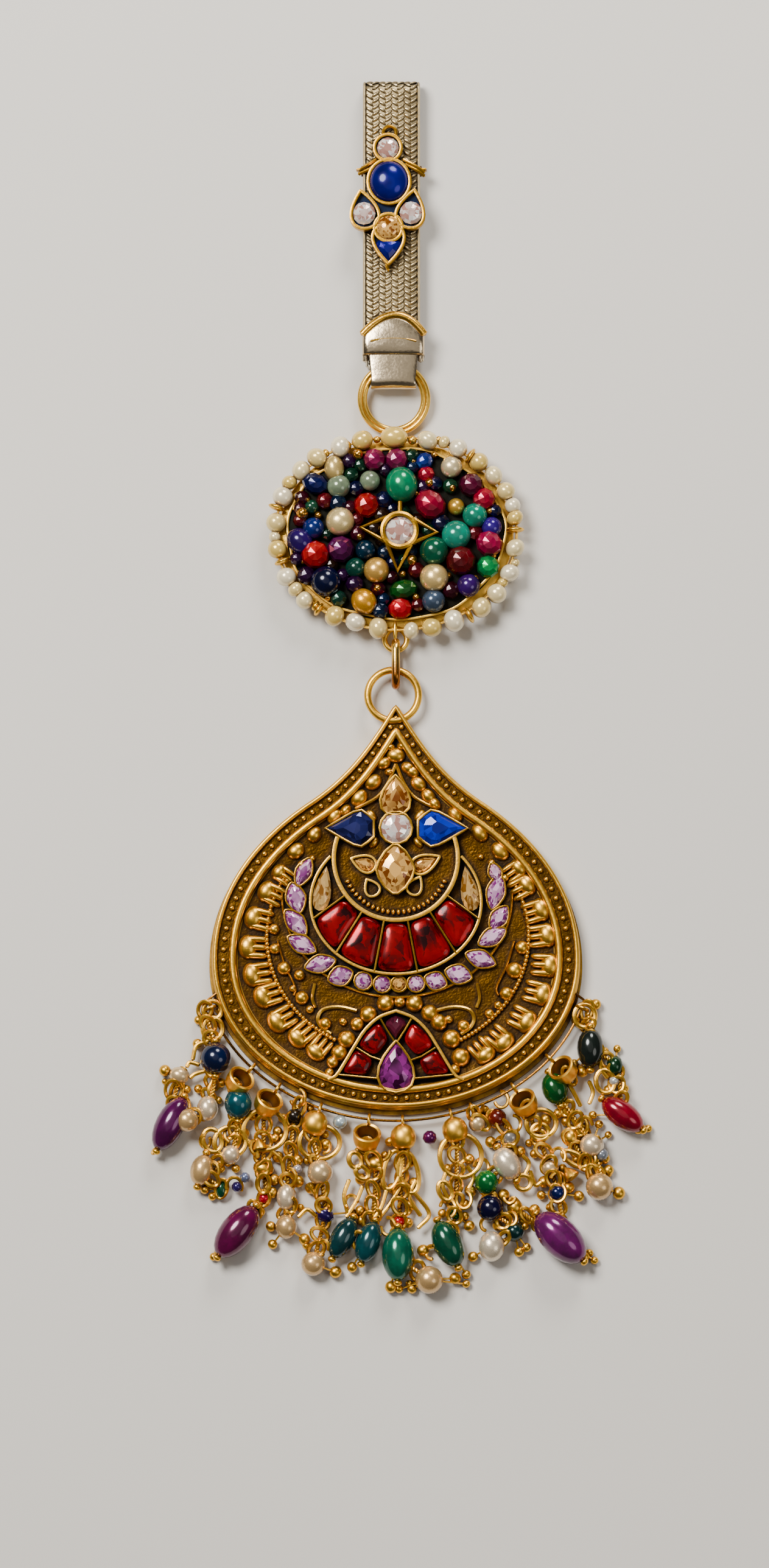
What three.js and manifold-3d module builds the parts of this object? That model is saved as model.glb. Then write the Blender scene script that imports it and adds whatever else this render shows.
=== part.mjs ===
// A hair bun pin: a woven metal strap folded over a two-prong pin, a stone setting clipped round the strap,
// a ring, an oval cluster of beads edged with a pearl string, and a cast drop pendant with a bead fringe.
// Millimetres. The piece lies face up on a surface: +Y runs from the fringe to the strap, +Z is up.
// The origin is on that surface, at the back of the pendant, under its widest part.
import * as THREE from "three";
import { mergeVertices } from "three/addons/utils/BufferGeometryUtils.js";
import Module from "manifold-3d";

const wasm = await Module();
wasm.setup();

// Driving dimensions
const GAP = 0.1;
const ABOVE_ALL = 9;
const BEAD_SIDES = 8;
const DOME_SIDES = 8;
const WIRE_SIDES = 5;
const RING_SIDES = 6;
const RING_STEPS = 20;
const LINK_STEPS = 16;

const STRAP = { x: -0.7, width: 9.4, thick: 1, top: 143.4, end: 100, fold: 1.9, tail: 5.1 };
const PIN = { wire: 1.5, spread: 7, tip: 96, riseFrom: 126, riseTo: 136, lie: 0.95 };
const CLIP = {
  x: -0.4, width: 10.2, tab: 7.4, leaf: 0.4, low: 1.7, high: 4.7,
  end: 92, foot: 97.4, middle: 100, shoulder: 100.8, arch: 104, lean: 0.6, crown: 0.5, crownShare: 0.86,
};
const CLIP_RIDGE = { width: 1.2, sunk: 0.3, high: 0.8 };
const BIG_RING = { x: -0.3, y: 90.5, radius: 5.2, wire: 1.6, topZ: 3.3, lowZ: 1.2 };
const CLUSTER = {
  y: 68, plateX: 19.3, plateY: 15.5, plate: 2.3, frameX: 17.4, frameY: 13.7, frame: 0.6, pad: 2.9,
};
const BRIDGE = { halfX: 1.4, from: 14.6, to: 17.6, low: 0.4, high: 2 };
const STRING = { halfX: 19.9, halfY: 16, z: 3.9, neck: 0.4 };
const EYELET = { y: -17.3, z: 2.15, radius: 1.8, wire: 0.9 };
const LINK = { low: 42.4, high: 50.9, z: 2.5, height: 5, wire: 1.4 };
const PENDANT = {
  tip: 40, shoulderX: 14, shoulderY: 24, halfWidth: 29.8, widest: -2, low: -25.8, field: 1.8, flare: 1.02,
};
const PENDANT_RING = { x: -0.45, y: 41.5, z: 2.5, radius: 4.15, wire: 1.2 };
const RAIL = { rx: 31.5, ry: 26, z: 1.8, wire: 0.7, from: 194, to: 346, count: 15, endX: 28.8, endY: -7 };
const LOOP = { radius: 0.95, wire: 0.5, out: 0.15 };
const CUP = { width: 4.2, length: 4.2, mouth: 0.7, anchor: 0.5 };

// Finishes
const finish = (color, metalness, roughness) =>
  new THREE.MeshStandardMaterial({ color, metalness, roughness });
const GOLD = finish(0xc8963c, 1, 0.35);
const SILVER = finish(0xb9b2a2, 1, 0.3);
const WEAVE = finish(0xc2b496, 1, 0.45);
const PEARL = finish(0xe6d9bd, 0, 0.3);
const SAPPHIRE = finish(0x1b2b9c, 0, 0.1);
const RUBY = finish(0xa80d1c, 0, 0.1);
const AMETHYST = finish(0x6d1c56, 0, 0.1);
const EMERALD = finish(0x0d6b47, 0, 0.15);
const CRYSTAL = finish(0xe9d6d2, 0, 0.08);
const CHAMPAGNE = finish(0xd9a35f, 0, 0.15);
const ROSE = finish(0xd4a0cf, 0, 0.1);

// Solids

const TAU = 2 * Math.PI;
const radians = THREE.MathUtils.degToRad;
const v2 = (x, y) => new THREE.Vector2(x, y);
const v3 = (x, y, z) => new THREE.Vector3(x, y, z);

// A closed geometry as a solid that joins and cuts.
function solid(geometry) {
  const bare = new THREE.BufferGeometry().setAttribute("position", geometry.getAttribute("position"));
  bare.setIndex(geometry.index);
  const merged = mergeVertices(bare, 1e-4);
  const corners = merged.index.array;
  const kept = [];
  for (let i = 0; i < corners.length; i += 3) {
    const [a, b, c] = corners.subarray(i, i + 3);
    if (a !== b && b !== c && c !== a) kept.push(a, b, c);
  }
  const vertProperties = merged.attributes.position.array;
  return new wasm.Manifold(new wasm.Mesh({ numProp: 3, vertProperties, triVerts: Uint32Array.from(kept) }));
}

const joined = (solids) => solids.reduce((whole, next) => whole.add(next));

function piece(name, shape, material) {
  const made = shape.getMesh();
  const geometry = new THREE.BufferGeometry()
    .setAttribute("position", new THREE.BufferAttribute(made.vertProperties, 3))
    .setIndex(new THREE.BufferAttribute(made.triVerts, 1));
  geometry.computeVertexNormals();
  const mesh = new THREE.Mesh(geometry, material);
  mesh.name = name;
  return mesh;
}

// Closed outlines, counter-clockwise, about their own centre.
function outline(count, point) {
  return Array.from({ length: count }, (_, i) => v2(...point((i / count) * TAU)));
}
const oval = (rx, ry, count) => outline(count, (t) => [rx * Math.cos(t), ry * Math.sin(t)]);

// A drop with its point up: sin t times sin t/2, brought to the width asked.
const PEAR_WIDTH = 1.299;
function pear(width, length, count) {
  const half = (PEAR_WIDTH * width) / 2;
  return outline(count, (t) => [-half * Math.sin(t) * Math.sin(t / 2), (length / 2) * Math.cos(t)]);
}

// A lozenge with soft sides: a power of the cosine and sine above 1 draws the sides in.
const LOZENGE_POWER = 1.35;
function lozenge(width, length, count) {
  const drawn = (value) => Math.sign(value) * Math.abs(value) ** LOZENGE_POWER;
  return outline(count, (t) => [(width / 2) * drawn(Math.cos(t)), (length / 2) * drawn(Math.sin(t))]);
}

const scaled = (points, share) => points.map((p) => p.clone().multiplyScalar(share));
const shifted = (points, x, y) => points.map((p) => v2(p.x + x, p.y + y));
const turned = (points, degrees) => points.map((p) => p.clone().rotateAround(v2(0, 0), radians(degrees)));
const mirrored = (points) => points.map((p) => v2(-p.x, p.y)).reverse();
const grown = (points, by) => points.map((p) => p.clone().setLength(p.length() + by));

// A closed solid through rings of equal count, listed from the bottom cap to the top cap.
function loft(rings, x = 0, y = 0) {
  const count = rings[0].points.length;
  const position = rings.flatMap(({ points, z }) => points.flatMap((p) => [p.x + x, p.y + y, z]));
  const index = [];
  rings.slice(1).forEach((_, level) => {
    for (let i = 0; i < count; i++) {
      const a = level * count + i;
      const b = level * count + ((i + 1) % count);
      index.push(a, b, b + count, a, b + count, a + count);
    }
  });
  const cap = (ring) => THREE.ShapeUtils.triangulateShape(rings[ring].points, []);
  cap(0).forEach(([a, b, c]) => index.push(a, c, b));
  const top = rings.length - 1;
  cap(top).forEach((face) => index.push(...face.map((i) => i + top * count)));
  const geometry = new THREE.BufferGeometry().setIndex(index);
  return solid(geometry.setAttribute("position", new THREE.Float32BufferAttribute(position, 3)));
}

// A straight-sided solid on an outline.
const upright = (points, low, high, x = 0, y = 0) => loft([{ points, z: low }, { points, z: high }], x, y);

// A cut stone: a girdle, a crown of facets and a flat table.
const TABLE = 0.62;
function cutStone(points, low, girdle, high) {
  return loft([
    { points, z: low },
    { points, z: girdle },
    { points: scaled(points, TABLE), z: high },
  ]);
}

// A polished stone with a domed top, given as shares of its outline and of its rise above the girdle.
const DOMED = [[1, 0], [0.78, 0.62], [0.3, 1]];
function cabochon(points, low, girdle, high) {
  const top = DOMED.map(([share, rise]) => ({
    points: scaled(points, share),
    z: girdle + (high - girdle) * rise,
  }));
  return loft([{ points, z: low }, ...top]);
}

// A raised line of trapezoid section along an open path.
function ridge(path, width, low, high) {
  const near = (i) => path[THREE.MathUtils.clamp(i, 0, path.length - 1)];
  const position = path.flatMap((p, i) => {
    const along = near(i + 1).clone().sub(near(i - 1)).normalize();
    const side = v2(along.y, -along.x).multiplyScalar(width / 2);
    const foot = [p.x + side.x, p.y + side.y, low];
    const shoulder = [p.x + side.x / 2, p.y + side.y / 2, high];
    const farShoulder = [p.x - side.x / 2, p.y - side.y / 2, high];
    const farFoot = [p.x - side.x, p.y - side.y, low];
    return [...foot, ...shoulder, ...farShoulder, ...farFoot];
  });
  const index = [0, 1, 2, 0, 2, 3];
  const last = (path.length - 1) * 4;
  index.push(last, last + 2, last + 1, last, last + 3, last + 2);
  for (let start = 0; start < last; start += 4) {
    for (let i = 0; i < 4; i++) {
      const a = start + i;
      const b = start + ((i + 1) % 4);
      index.push(a, a + 4, b + 4, a, b + 4, b);
    }
  }
  const geometry = new THREE.BufferGeometry().setIndex(index);
  return solid(geometry.setAttribute("position", new THREE.Float32BufferAttribute(position, 3)));
}

const arc = (x, y, rx, ry, from, to, count) =>
  new THREE.EllipseCurve(x, y, rx, ry, radians(from), radians(to)).getPoints(count);

// A low dome of width 1 in section, from its foot, which stands a little into what carries it, to its top.
const DOME = { foot: -0.25, half: 0.5, shoulder: 0.4, shoulderRise: 0.62 };
function dome(x, y, z, width, length, height, turn = 0) {
  const shoulder = v2(DOME.shoulder, DOME.shoulderRise * height);
  const profile = [v2(0, DOME.foot), v2(DOME.half, DOME.foot), shoulder, v2(0, height)];
  const geometry = new THREE.LatheGeometry(profile, DOME_SIDES)
    .rotateX(Math.PI / 2)
    .scale(width, length, 1)
    .rotateZ(radians(turn));
  return solid(geometry.translate(x, y, z));
}

// A round or long bead, drilled along its length, which is turned from +Y.
const LARGE_BEAD = 4.6;
function bead({ x, y, z, w, l, turn = 0 }) {
  const stacks = Math.max(w, l) > LARGE_BEAD ? 4 : 3;
  const geometry = new THREE.SphereGeometry(0.5, BEAD_SIDES, stacks).scale(w, l, w).rotateZ(radians(turn));
  return solid(geometry.translate(x, y, z));
}

// A round wire along a smooth open path of points.
function wire(points, diameter, steps) {
  const section = new THREE.Shape(oval(diameter / 2, diameter / 2, WIRE_SIDES));
  const extrudePath = new THREE.CatmullRomCurve3(points, false, "centripetal");
  return solid(new THREE.ExtrudeGeometry(section, { extrudePath, steps }));
}

// A wire ring in the XY plane, about its own centre.
const hoop = (radius, diameter, steps) => new THREE.TorusGeometry(radius, diameter / 2, WIRE_SIDES, steps);

const box = (x0, x1, y0, y1, z0, z1) => {
  const geometry = new THREE.BoxGeometry(x1 - x0, y1 - y0, z1 - z0);
  return solid(geometry.translate((x0 + x1) / 2, (y0 + y1) / 2, (z0 + z1) / 2));
};

// A plate of an outline drawn in side view, Y across and Z up, given a width along X.
function sideways(shape, width) {
  const geometry = new THREE.ExtrudeGeometry(shape, { depth: width, bevelEnabled: false, curveSegments: 6 });
  return solid(geometry.translate(0, 0, -width / 2).rotateZ(Math.PI / 2).rotateY(Math.PI / 2));
}

// Strap, folded over the bar of the pin

const strapFront = STRAP.fold * 2;
const strapBack = strapFront - STRAP.thick;
const foldY = STRAP.top - STRAP.fold;
const strapSide = new THREE.Shape()
  .moveTo(STRAP.end, strapBack)
  .lineTo(foldY, strapBack)
  .absarc(foldY, STRAP.fold, STRAP.fold - STRAP.thick, Math.PI / 2, -Math.PI / 2, true)
  .lineTo(foldY - STRAP.tail, STRAP.thick)
  .lineTo(foldY - STRAP.tail, 0)
  .lineTo(foldY, 0)
  .absarc(foldY, STRAP.fold, STRAP.fold, -Math.PI / 2, Math.PI / 2, false)
  .lineTo(STRAP.end, strapFront);
const meshStrap = piece("mesh_strap", sideways(strapSide, STRAP.width), WEAVE);

// Two-prong pin behind the strap

const prong = PIN.spread / 2;
const barY = foldY - GAP;
const prongPath = (side) => [
  v3(side * prong, PIN.tip, PIN.lie),
  v3(side * prong, PIN.riseFrom, PIN.lie),
  v3(side * prong, PIN.riseTo, STRAP.fold),
];
const bendPath = [150, 120, 90, 60, 30].map((degrees) => {
  const angle = radians(degrees);
  return v3(prong * Math.cos(angle), barY - prong + prong * Math.sin(angle), STRAP.fold);
});
const pinPath = [...prongPath(-1), ...bendPath, ...prongPath(1).reverse()];
const bunPin = piece("bun_pin", wire(pinPath, PIN.wire, 26), SILVER);

const strapGroup = new THREE.Group().add(meshStrap, bunPin);
strapGroup.position.x = STRAP.x;

// Clip that grips the end of the strap; its tab folds round the big ring

const tabRadius = (CLIP.high - CLIP.low) / 2;
const tabY = CLIP.end + tabRadius;
const tabZ = CLIP.low + tabRadius;
const tabRoot = CLIP.foot + 1;
const tabSide = new THREE.Shape()
  .moveTo(tabRoot, CLIP.low)
  .lineTo(tabRoot, CLIP.high)
  .lineTo(tabY, CLIP.high)
  .absarc(tabY, tabZ, tabRadius, Math.PI / 2, -Math.PI / 2, false);
const tabSlot = new THREE.Path()
  .moveTo(CLIP.foot, CLIP.low + CLIP.leaf)
  .lineTo(CLIP.foot, CLIP.high - CLIP.leaf)
  .lineTo(tabY, CLIP.high - CLIP.leaf)
  .absarc(tabY, tabZ, tabRadius - CLIP.leaf, Math.PI / 2, -Math.PI / 2, false);
tabSide.holes.push(tabSlot);

// The front of the clip rises to an arch over the strap.
const clipHalf = CLIP.width / 2;
const archPoints = new THREE.QuadraticBezierCurve(
  v2(clipHalf, CLIP.shoulder),
  v2(CLIP.lean, 2 * CLIP.arch - CLIP.shoulder),
  v2(-clipHalf, CLIP.shoulder)
).getPoints(10);
const clipFace = [v2(-clipHalf, CLIP.foot), v2(clipHalf, CLIP.foot), ...archPoints];
const clipTop = scaled(shifted(clipFace, 0, -CLIP.middle), CLIP.crownShare);
const clipBody = loft([
  { points: clipFace, z: CLIP.low },
  { points: clipFace, z: CLIP.high },
  { points: shifted(clipTop, 0, CLIP.middle), z: CLIP.high + CLIP.crown },
]);
const strapX = STRAP.x - CLIP.x;
const strapHalf = STRAP.width / 2 + GAP;
const strapSlot = box(
  strapX - strapHalf, strapX + strapHalf,
  STRAP.end - GAP, STRAP.top, strapBack - GAP, strapFront + GAP
);
const archLow = CLIP.high - CLIP_RIDGE.sunk;
const archRidge = ridge(archPoints, CLIP_RIDGE.width, archLow, CLIP.high + CLIP_RIDGE.high);
const clipShape = joined([sideways(tabSide, CLIP.tab), clipBody, archRidge]).subtract(strapSlot);
const strapClip = piece("strap_clip", clipShape, SILVER);
strapClip.position.x = CLIP.x;

// Stone setting on the strap: seats on a back plate, held by a band that goes round the strap

const SETTING = { x: -1.2, y: 121, low: strapFront + GAP, floor: 4.5, plate: 5.1, girdle: 5.3, high: 5.5 };
const settingSeats = [
  { points: oval(2.4, 2.4, 10), x: -0.1, y: 10.7 },
  { points: oval(3.65, 3.9, 12), x: 0.1, y: 5.1 },
  { points: turned(pear(4.8, 6.2, 10), 10), x: -4, y: 0.2 },
  { points: turned(pear(4.8, 6.2, 10), -10), x: 3.7, y: 0.3 },
  { points: oval(2.5, 2.5, 10), x: 0, y: -2.6 },
  { points: turned(pear(5.4, 6.4, 10), 180), x: 0, y: -5.4 },
];
const NAVY_PLATE = { halfX: 2.6, from: -1.6, to: 2.4 };
const SPIKE = { line: [v2(-0.1, -8), v2(-0.1, -9.7)], width: 0.8 };
const TOP_LOOP = { x: 0.2, y: 13.4, rise: 0.5, radius: 1.05, wire: 0.6 };
const BAND = { from: 6.6, to: 8.6, wall: 0.3, rise: 0.4 };
const navyPlate = box(
  -NAVY_PLATE.halfX, NAVY_PLATE.halfX, NAVY_PLATE.from, NAVY_PLATE.to, SETTING.low, SETTING.plate
);
const spike = ridge(SPIKE.line, SPIKE.width, SETTING.low, SETTING.plate);
const topHoop = hoop(TOP_LOOP.radius, TOP_LOOP.wire, 12);
const topLoop = solid(topHoop.translate(TOP_LOOP.x, TOP_LOOP.y, SETTING.low + TOP_LOOP.rise));
const bandX = STRAP.x - SETTING.x;
const bandHole = box(
  bandX - strapHalf, bandX + strapHalf,
  BAND.from - GAP, BAND.to + GAP, strapBack - GAP, strapFront + GAP
);
const bandOuter = box(
  bandX - strapHalf - BAND.wall, bandX + strapHalf + BAND.wall,
  BAND.from, BAND.to, strapBack - GAP - BAND.wall, SETTING.low + BAND.rise
);
const seatAt = ({ points, x, y }) => upright(points, SETTING.low, SETTING.high, x, y);

// Name, cut, outline, place, height and colour of each stone.
const settingStones = [
  ["setting_top_crystal", cutStone, oval(1.4, 1.4, 8), -0.1, 10.7, 5.9, CRYSTAL],
  ["setting_blue_stone", cabochon, oval(2.95, 3.2, 12), 0.1, 5.1, 7.2, SAPPHIRE],
  ["setting_left_crystal", cutStone, oval(1.6, 1.6, 8), -4, -0.2, 6, CRYSTAL],
  ["setting_right_crystal", cutStone, oval(1.6, 1.6, 8), 3.7, -0.1, 6, CRYSTAL],
  ["setting_gold_stone", cabochon, oval(1.9, 1.9, 10), 0, -2.6, 6.4, CHAMPAGNE],
  ["setting_tip_stone", cutStone, turned(pear(3.9, 3.2, 10), 180), 0, -6.5, 6, SAPPHIRE],
];
const stonePocket = (points, floor, x, y) => upright(grown(points, GAP), floor, ABOVE_ALL, x, y);
const bandRing = bandOuter.subtract(bandHole);
const settingMetal = joined([...settingSeats.map(seatAt), navyPlate, spike, topLoop, bandRing]);
const settingFrame = settingStones.reduce(
  (metal, [, , points, x, y]) => metal.subtract(stonePocket(points, SETTING.floor, x, y)),
  settingMetal
);
const settingGroup = new THREE.Group().add(piece("setting_frame", settingFrame, GOLD));
settingStones.forEach(([name, cut, points, x, y, high, colour]) => {
  const stone = piece(name, cut(points, SETTING.floor + GAP, SETTING.girdle, high), colour);
  stone.position.set(x, y, 0);
  settingGroup.add(stone);
});
settingGroup.position.set(SETTING.x, SETTING.y, 0);

// Oval frame of the bead cluster: a plate, the big ring on a bridge, a thin raised frame and a low eyelet

const OVAL_STEPS = 32;
const PLATE_FOOT = { share: 0.985, rise: 0.5 };
const FRAME_EDGE = 0.015;
const plate = oval(CLUSTER.plateX, CLUSTER.plateY, OVAL_STEPS);
const rimOf = (share) => oval(CLUSTER.frameX * share, CLUSTER.frameY * share, OVAL_STEPS);
const rimOuter = rimOf(1 + FRAME_EDGE);
const rimInner = rimOf(1 - FRAME_EDGE);
const plateShape = loft([
  { points: scaled(plate, PLATE_FOOT.share), z: 0 },
  { points: plate, z: PLATE_FOOT.rise },
  { points: plate, z: CLUSTER.plate },
  { points: rimOuter, z: CLUSTER.plate },
  { points: rimOuter, z: CLUSTER.plate + CLUSTER.frame },
  { points: rimInner, z: CLUSTER.plate + CLUSTER.frame },
  { points: rimInner, z: CLUSTER.plate },
]);
const bridge = box(
  BIG_RING.x - BRIDGE.halfX, BIG_RING.x + BRIDGE.halfX, BRIDGE.from, BRIDGE.to, BRIDGE.low, BRIDGE.high
);
const ringTilt = Math.atan2(BIG_RING.topZ - BIG_RING.lowZ, 2 * BIG_RING.radius);
const bigRing = new THREE.TorusGeometry(BIG_RING.radius, BIG_RING.wire / 2, RING_SIDES, RING_STEPS)
  .rotateX(ringTilt)
  .translate(BIG_RING.x, BIG_RING.y - CLUSTER.y, (BIG_RING.topZ + BIG_RING.lowZ) / 2);
const eyelet = hoop(EYELET.radius, EYELET.wire, 12).translate(0, EYELET.y, EYELET.z);
const ovalFrame = piece("oval_frame", joined([plateShape, bridge, solid(bigRing), solid(eyelet)]), GOLD);

// Pearl string round the oval, listed counter-clockwise from the barrel bead at the top

const STRING_BEADS = {
  B: { long: 4.5, wide: 3.1 },
  P: { long: 3.05, wide: 3 },
  s: { long: 1.8, wide: 1.8 },
  f: { long: 1.6, wide: 2.6 },
  g: { long: 0.8, wide: 2.6 },
  b: { long: 1.2, wide: 1.5 },
  t: { long: 2.5, wide: 0.8 },
};
const STRING_ORDER = "BbPPbPPPPgPfPgPPPPPPtPPPgPPsPPgPPPPPgPPb";

function beadString(order) {
  const kinds = [...order].map((letter) => STRING_BEADS[letter]);
  const total = kinds.reduce((sum, kind) => sum + kind.long, 0);
  const path = new THREE.EllipseCurve(0, 0, STRING.halfX, STRING.halfY, Math.PI / 2, Math.PI / 2 + TAU);
  path.arcLengthDivisions = 800;
  const position = [];
  let start = -kinds[0].long / 2;
  kinds.forEach(({ long, wide }) => {
    const cylinder = long > 2 || long < 1;
    const widest = cylinder ? [0.25, 0.75] : [0.5];
    const rings = [[0, STRING.neck], ...widest.map((share) => [share, wide / 2])];
    rings.forEach(([share, radius]) => {
      const u = ((start + share * long) / total + 1) % 1;
      const centre = path.getPointAt(u);
      const along = path.getTangentAt(u);
      for (let i = 0; i < BEAD_SIDES; i++) {
        const across = radius * Math.cos((i / BEAD_SIDES) * TAU);
        const up = radius * Math.sin((i / BEAD_SIDES) * TAU);
        position.push(centre.x + along.y * across, centre.y - along.x * across, STRING.z + up);
      }
    });
    start += long;
  });
  const rings = position.length / 3 / BEAD_SIDES;
  const index = [];
  for (let ring = 0; ring < rings; ring++) {
    const next = (ring + 1) % rings;
    for (let i = 0; i < BEAD_SIDES; i++) {
      const j = (i + 1) % BEAD_SIDES;
      const [a, b, c, d] = [ring, ring, next, next].map((r, k) => r * BEAD_SIDES + (k % 3 ? j : i));
      index.push(a, c, b, a, d, c);
    }
  }
  const geometry = new THREE.BufferGeometry().setIndex(index);
  return solid(geometry.setAttribute("position", new THREE.Float32BufferAttribute(position, 3)));
}
const pearlRim = piece("pearl_rim", beadString(STRING_ORDER), PEARL);

// Bead field inside the oval: beads set in a domed pad

const FIELD_BEADS = [
  { x: -9.5, y: 10.2, w: 3.8, l: 2.8 },
  { x: -3.3, y: 11.6, w: 3.2, l: 3.2 },
  { x: 0.1, y: 11.6, w: 3.2, l: 3.2 },
  { x: 8.6, y: 10.4, w: 3, l: 3 },
  { x: -12.4, y: 7.8, w: 3, l: 3.8 },
  { x: -8.8, y: 7.4, w: 3.2, l: 3.2 },
  { x: 0.9, y: 7.6, w: 4.4, l: 5 },
  { x: 11.6, y: 7.6, w: 3.4, l: 3.4 },
  { x: 13.6, y: 5.4, w: 3.2, l: 3.2 },
  { x: -4.5, y: 4.4, w: 3.6, l: 3.6 },
  { x: 5.3, y: 4.5, w: 4, l: 4.6 },
  { x: 12.2, y: 2.8, w: 3.4, l: 3.4 },
  { x: -8.6, y: 1.8, w: 4, l: 4 },
  { x: -12.7, y: 0.8, w: 3, l: 3 },
  { x: -14.8, y: -1.2, w: 3.4, l: 3.8 },
  { x: 9.3, y: -0.3, w: 4, l: 4 },
  { x: 14.8, y: 1, w: 2.8, l: 2.8 },
  { x: 14.4, y: -1.6, w: 3.8, l: 3.6 },
  { x: -12.4, y: -3.4, w: 4, l: 4 },
  { x: -8.5, y: -2.5, w: 3.8, l: 3.8 },
  { x: -4.7, y: -2.6, w: 2.8, l: 2.8 },
  { x: 5.9, y: -2.8, w: 4, l: 4 },
  { x: 10, y: -4.3, w: 4.2, l: 4.2 },
  { x: 14.2, y: -5.2, w: 3.2, l: 3.2 },
  { x: -10.8, y: -7.6, w: 4.2, l: 4.2 },
  { x: -3, y: -5.8, w: 3.6, l: 3.6 },
  { x: 5.9, y: -7, w: 4, l: 4 },
  { x: 1.2, y: -8.8, w: 4, l: 2.8 },
  { x: 11.2, y: -8.2, w: 3.2, l: 3.2 },
  { x: -4.9, y: -10.7, w: 3.8, l: 3.4 },
  { x: 5.8, y: -10.6, w: 3.2, l: 3.2 },
  { x: 0.7, y: -11.8, w: 3.4, l: 3 },
];
const PAD = { steps: 24, footIn: 0.6, topIn: 0.9 };
const STAR = {
  x: 0.6, y: 0.3, free: 3.3, seat: 3.1, stone: 2.2,
  low: CLUSTER.plate + GAP, floor: 4.2, girdle: 5.2, high: 5.4, top: 6.1,
};
const padOval = (inset) => oval(CLUSTER.frameX - inset, CLUSTER.frameY - inset, PAD.steps);
const pad = loft([
  { points: padOval(PAD.footIn), z: CLUSTER.plate + GAP },
  { points: padOval(PAD.topIn), z: CLUSTER.pad },
]);

// A bead of the field is sunk in the pad by three tenths of its half height.
const SUNK = 0.7;
function fieldBead({ x, y, w, l }) {
  const height = Math.min(w, l);
  const geometry = new THREE.SphereGeometry(0.5, BEAD_SIDES, 3).rotateX(Math.PI / 2).scale(w, l, height);
  return solid(geometry.translate(x, y, CLUSTER.pad + (SUNK * height) / 2));
}
const starFree = upright(oval(STAR.free, STAR.free, 16), CLUSTER.plate, ABOVE_ALL, STAR.x, STAR.y);
const fieldShape = joined([pad, ...FIELD_BEADS.map(fieldBead)]).subtract(starFree);
const beadField = piece("bead_field", fieldShape, EMERALD);

// Star bezel in the middle of the field, standing on the plate, with its stone

const STAR_POINT = { halfWide: 1.5, low: 4.4, high: 5 };
const STAR_TIPS = [[-6.3, 0.5], [6.1, -0.3], [-0.3, -6.6], [0.1, 4.7]];
const starPoints = STAR_TIPS.map(([x, y]) => {
  const side = v2(-y, x).setLength(STAR_POINT.halfWide);
  return upright([v2(x, y), side, side.clone().negate()], STAR_POINT.low, STAR_POINT.high);
});
const starSeat = upright(oval(STAR.seat, STAR.seat, 12), STAR.low, STAR.high);
const starPocket = stonePocket(oval(STAR.stone, STAR.stone, 12), STAR.floor, 0, 0);
const starBezel = piece("star_bezel", joined([starSeat, ...starPoints]).subtract(starPocket), GOLD);
const starCut = cutStone(oval(STAR.stone, STAR.stone, 10), STAR.floor + GAP, STAR.girdle, STAR.top);
const starStone = piece("star_stone", starCut, CRYSTAL);
const starGroup = new THREE.Group().add(starBezel, starStone);
starGroup.position.set(STAR.x, STAR.y, 0);
const clusterGroup = new THREE.Group().add(ovalFrame, pearlRim, beadField, starGroup);
clusterGroup.position.y = CLUSTER.y;

// Long link, standing on edge through the eyelet and the ring of the pendant: a ring drawn apart

const LINK_MIDDLE = 0.01;
const linkEnd = (LINK.height - LINK.wire) / 2;
const linkLow = LINK.low + LINK.wire / 2 + linkEnd;
const linkHigh = LINK.high - LINK.wire / 2 - linkEnd;
const linkRing = new THREE.TorusGeometry(linkEnd, LINK.wire / 2, RING_SIDES, LINK_STEPS);
const linkGeometry = linkRing.rotateY(Math.PI / 2);
const linkPoints = linkGeometry.getAttribute("position");
for (let i = 0; i < linkPoints.count; i++) {
  const y = linkPoints.getY(i);
  const middle = y > LINK_MIDDLE ? linkHigh : linkLow;
  linkPoints.setXYZ(i, linkPoints.getX(i), y + middle, linkPoints.getZ(i) + LINK.z);
}
const connectingLink = piece("connecting_link", solid(linkGeometry), GOLD);

// Pendant outline: a drop with a hollow neck and a full round; smaller shares of it follow each other inwards

const OUTLINE_STEPS = 24;
const BELLY_PULL = [v2(30, 10), v2(22, 18.7)];
const NECK_PULL = [v2(6.5, 29), v2(3.2, 35)];
const half = new THREE.CurvePath();
const bellyHeight = PENDANT.widest - PENDANT.low;
half.add(new THREE.EllipseCurve(0, PENDANT.widest, PENDANT.halfWidth, bellyHeight, -Math.PI / 2, 0));
const widest = v2(PENDANT.halfWidth, PENDANT.widest);
const shoulder = v2(PENDANT.shoulderX, PENDANT.shoulderY);
const tip = v2(0, PENDANT.tip);
half.add(new THREE.CubicBezierCurve(widest, ...BELLY_PULL, shoulder));
half.add(new THREE.CubicBezierCurve(shoulder, ...NECK_PULL, tip));
const rightSide = half.getSpacedPoints(OUTLINE_STEPS);
const drop = [...rightSide, ...mirrored(rightSide).slice(1, -1)];
const flared = drop.map((p) => p.clone().sub(tip).multiplyScalar(PENDANT.flare).add(tip));

const RIM = [
  { share: 1, z: 2.9 },
  { share: 0.985, z: 3.3 },
  { share: 0.966, z: 2.6 },
  { share: 0.928, z: 2.6 },
  { share: 0.911, z: 3.2 },
  { share: 0.888, z: PENDANT.field },
];
const rimRings = RIM.map(({ share, z }) => ({ points: scaled(drop, share), z }));
const tray = loft([{ points: flared, z: 0 }, ...rimRings]);

// Border of lobes inside the rim: large round the body, small up the neck

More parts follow.
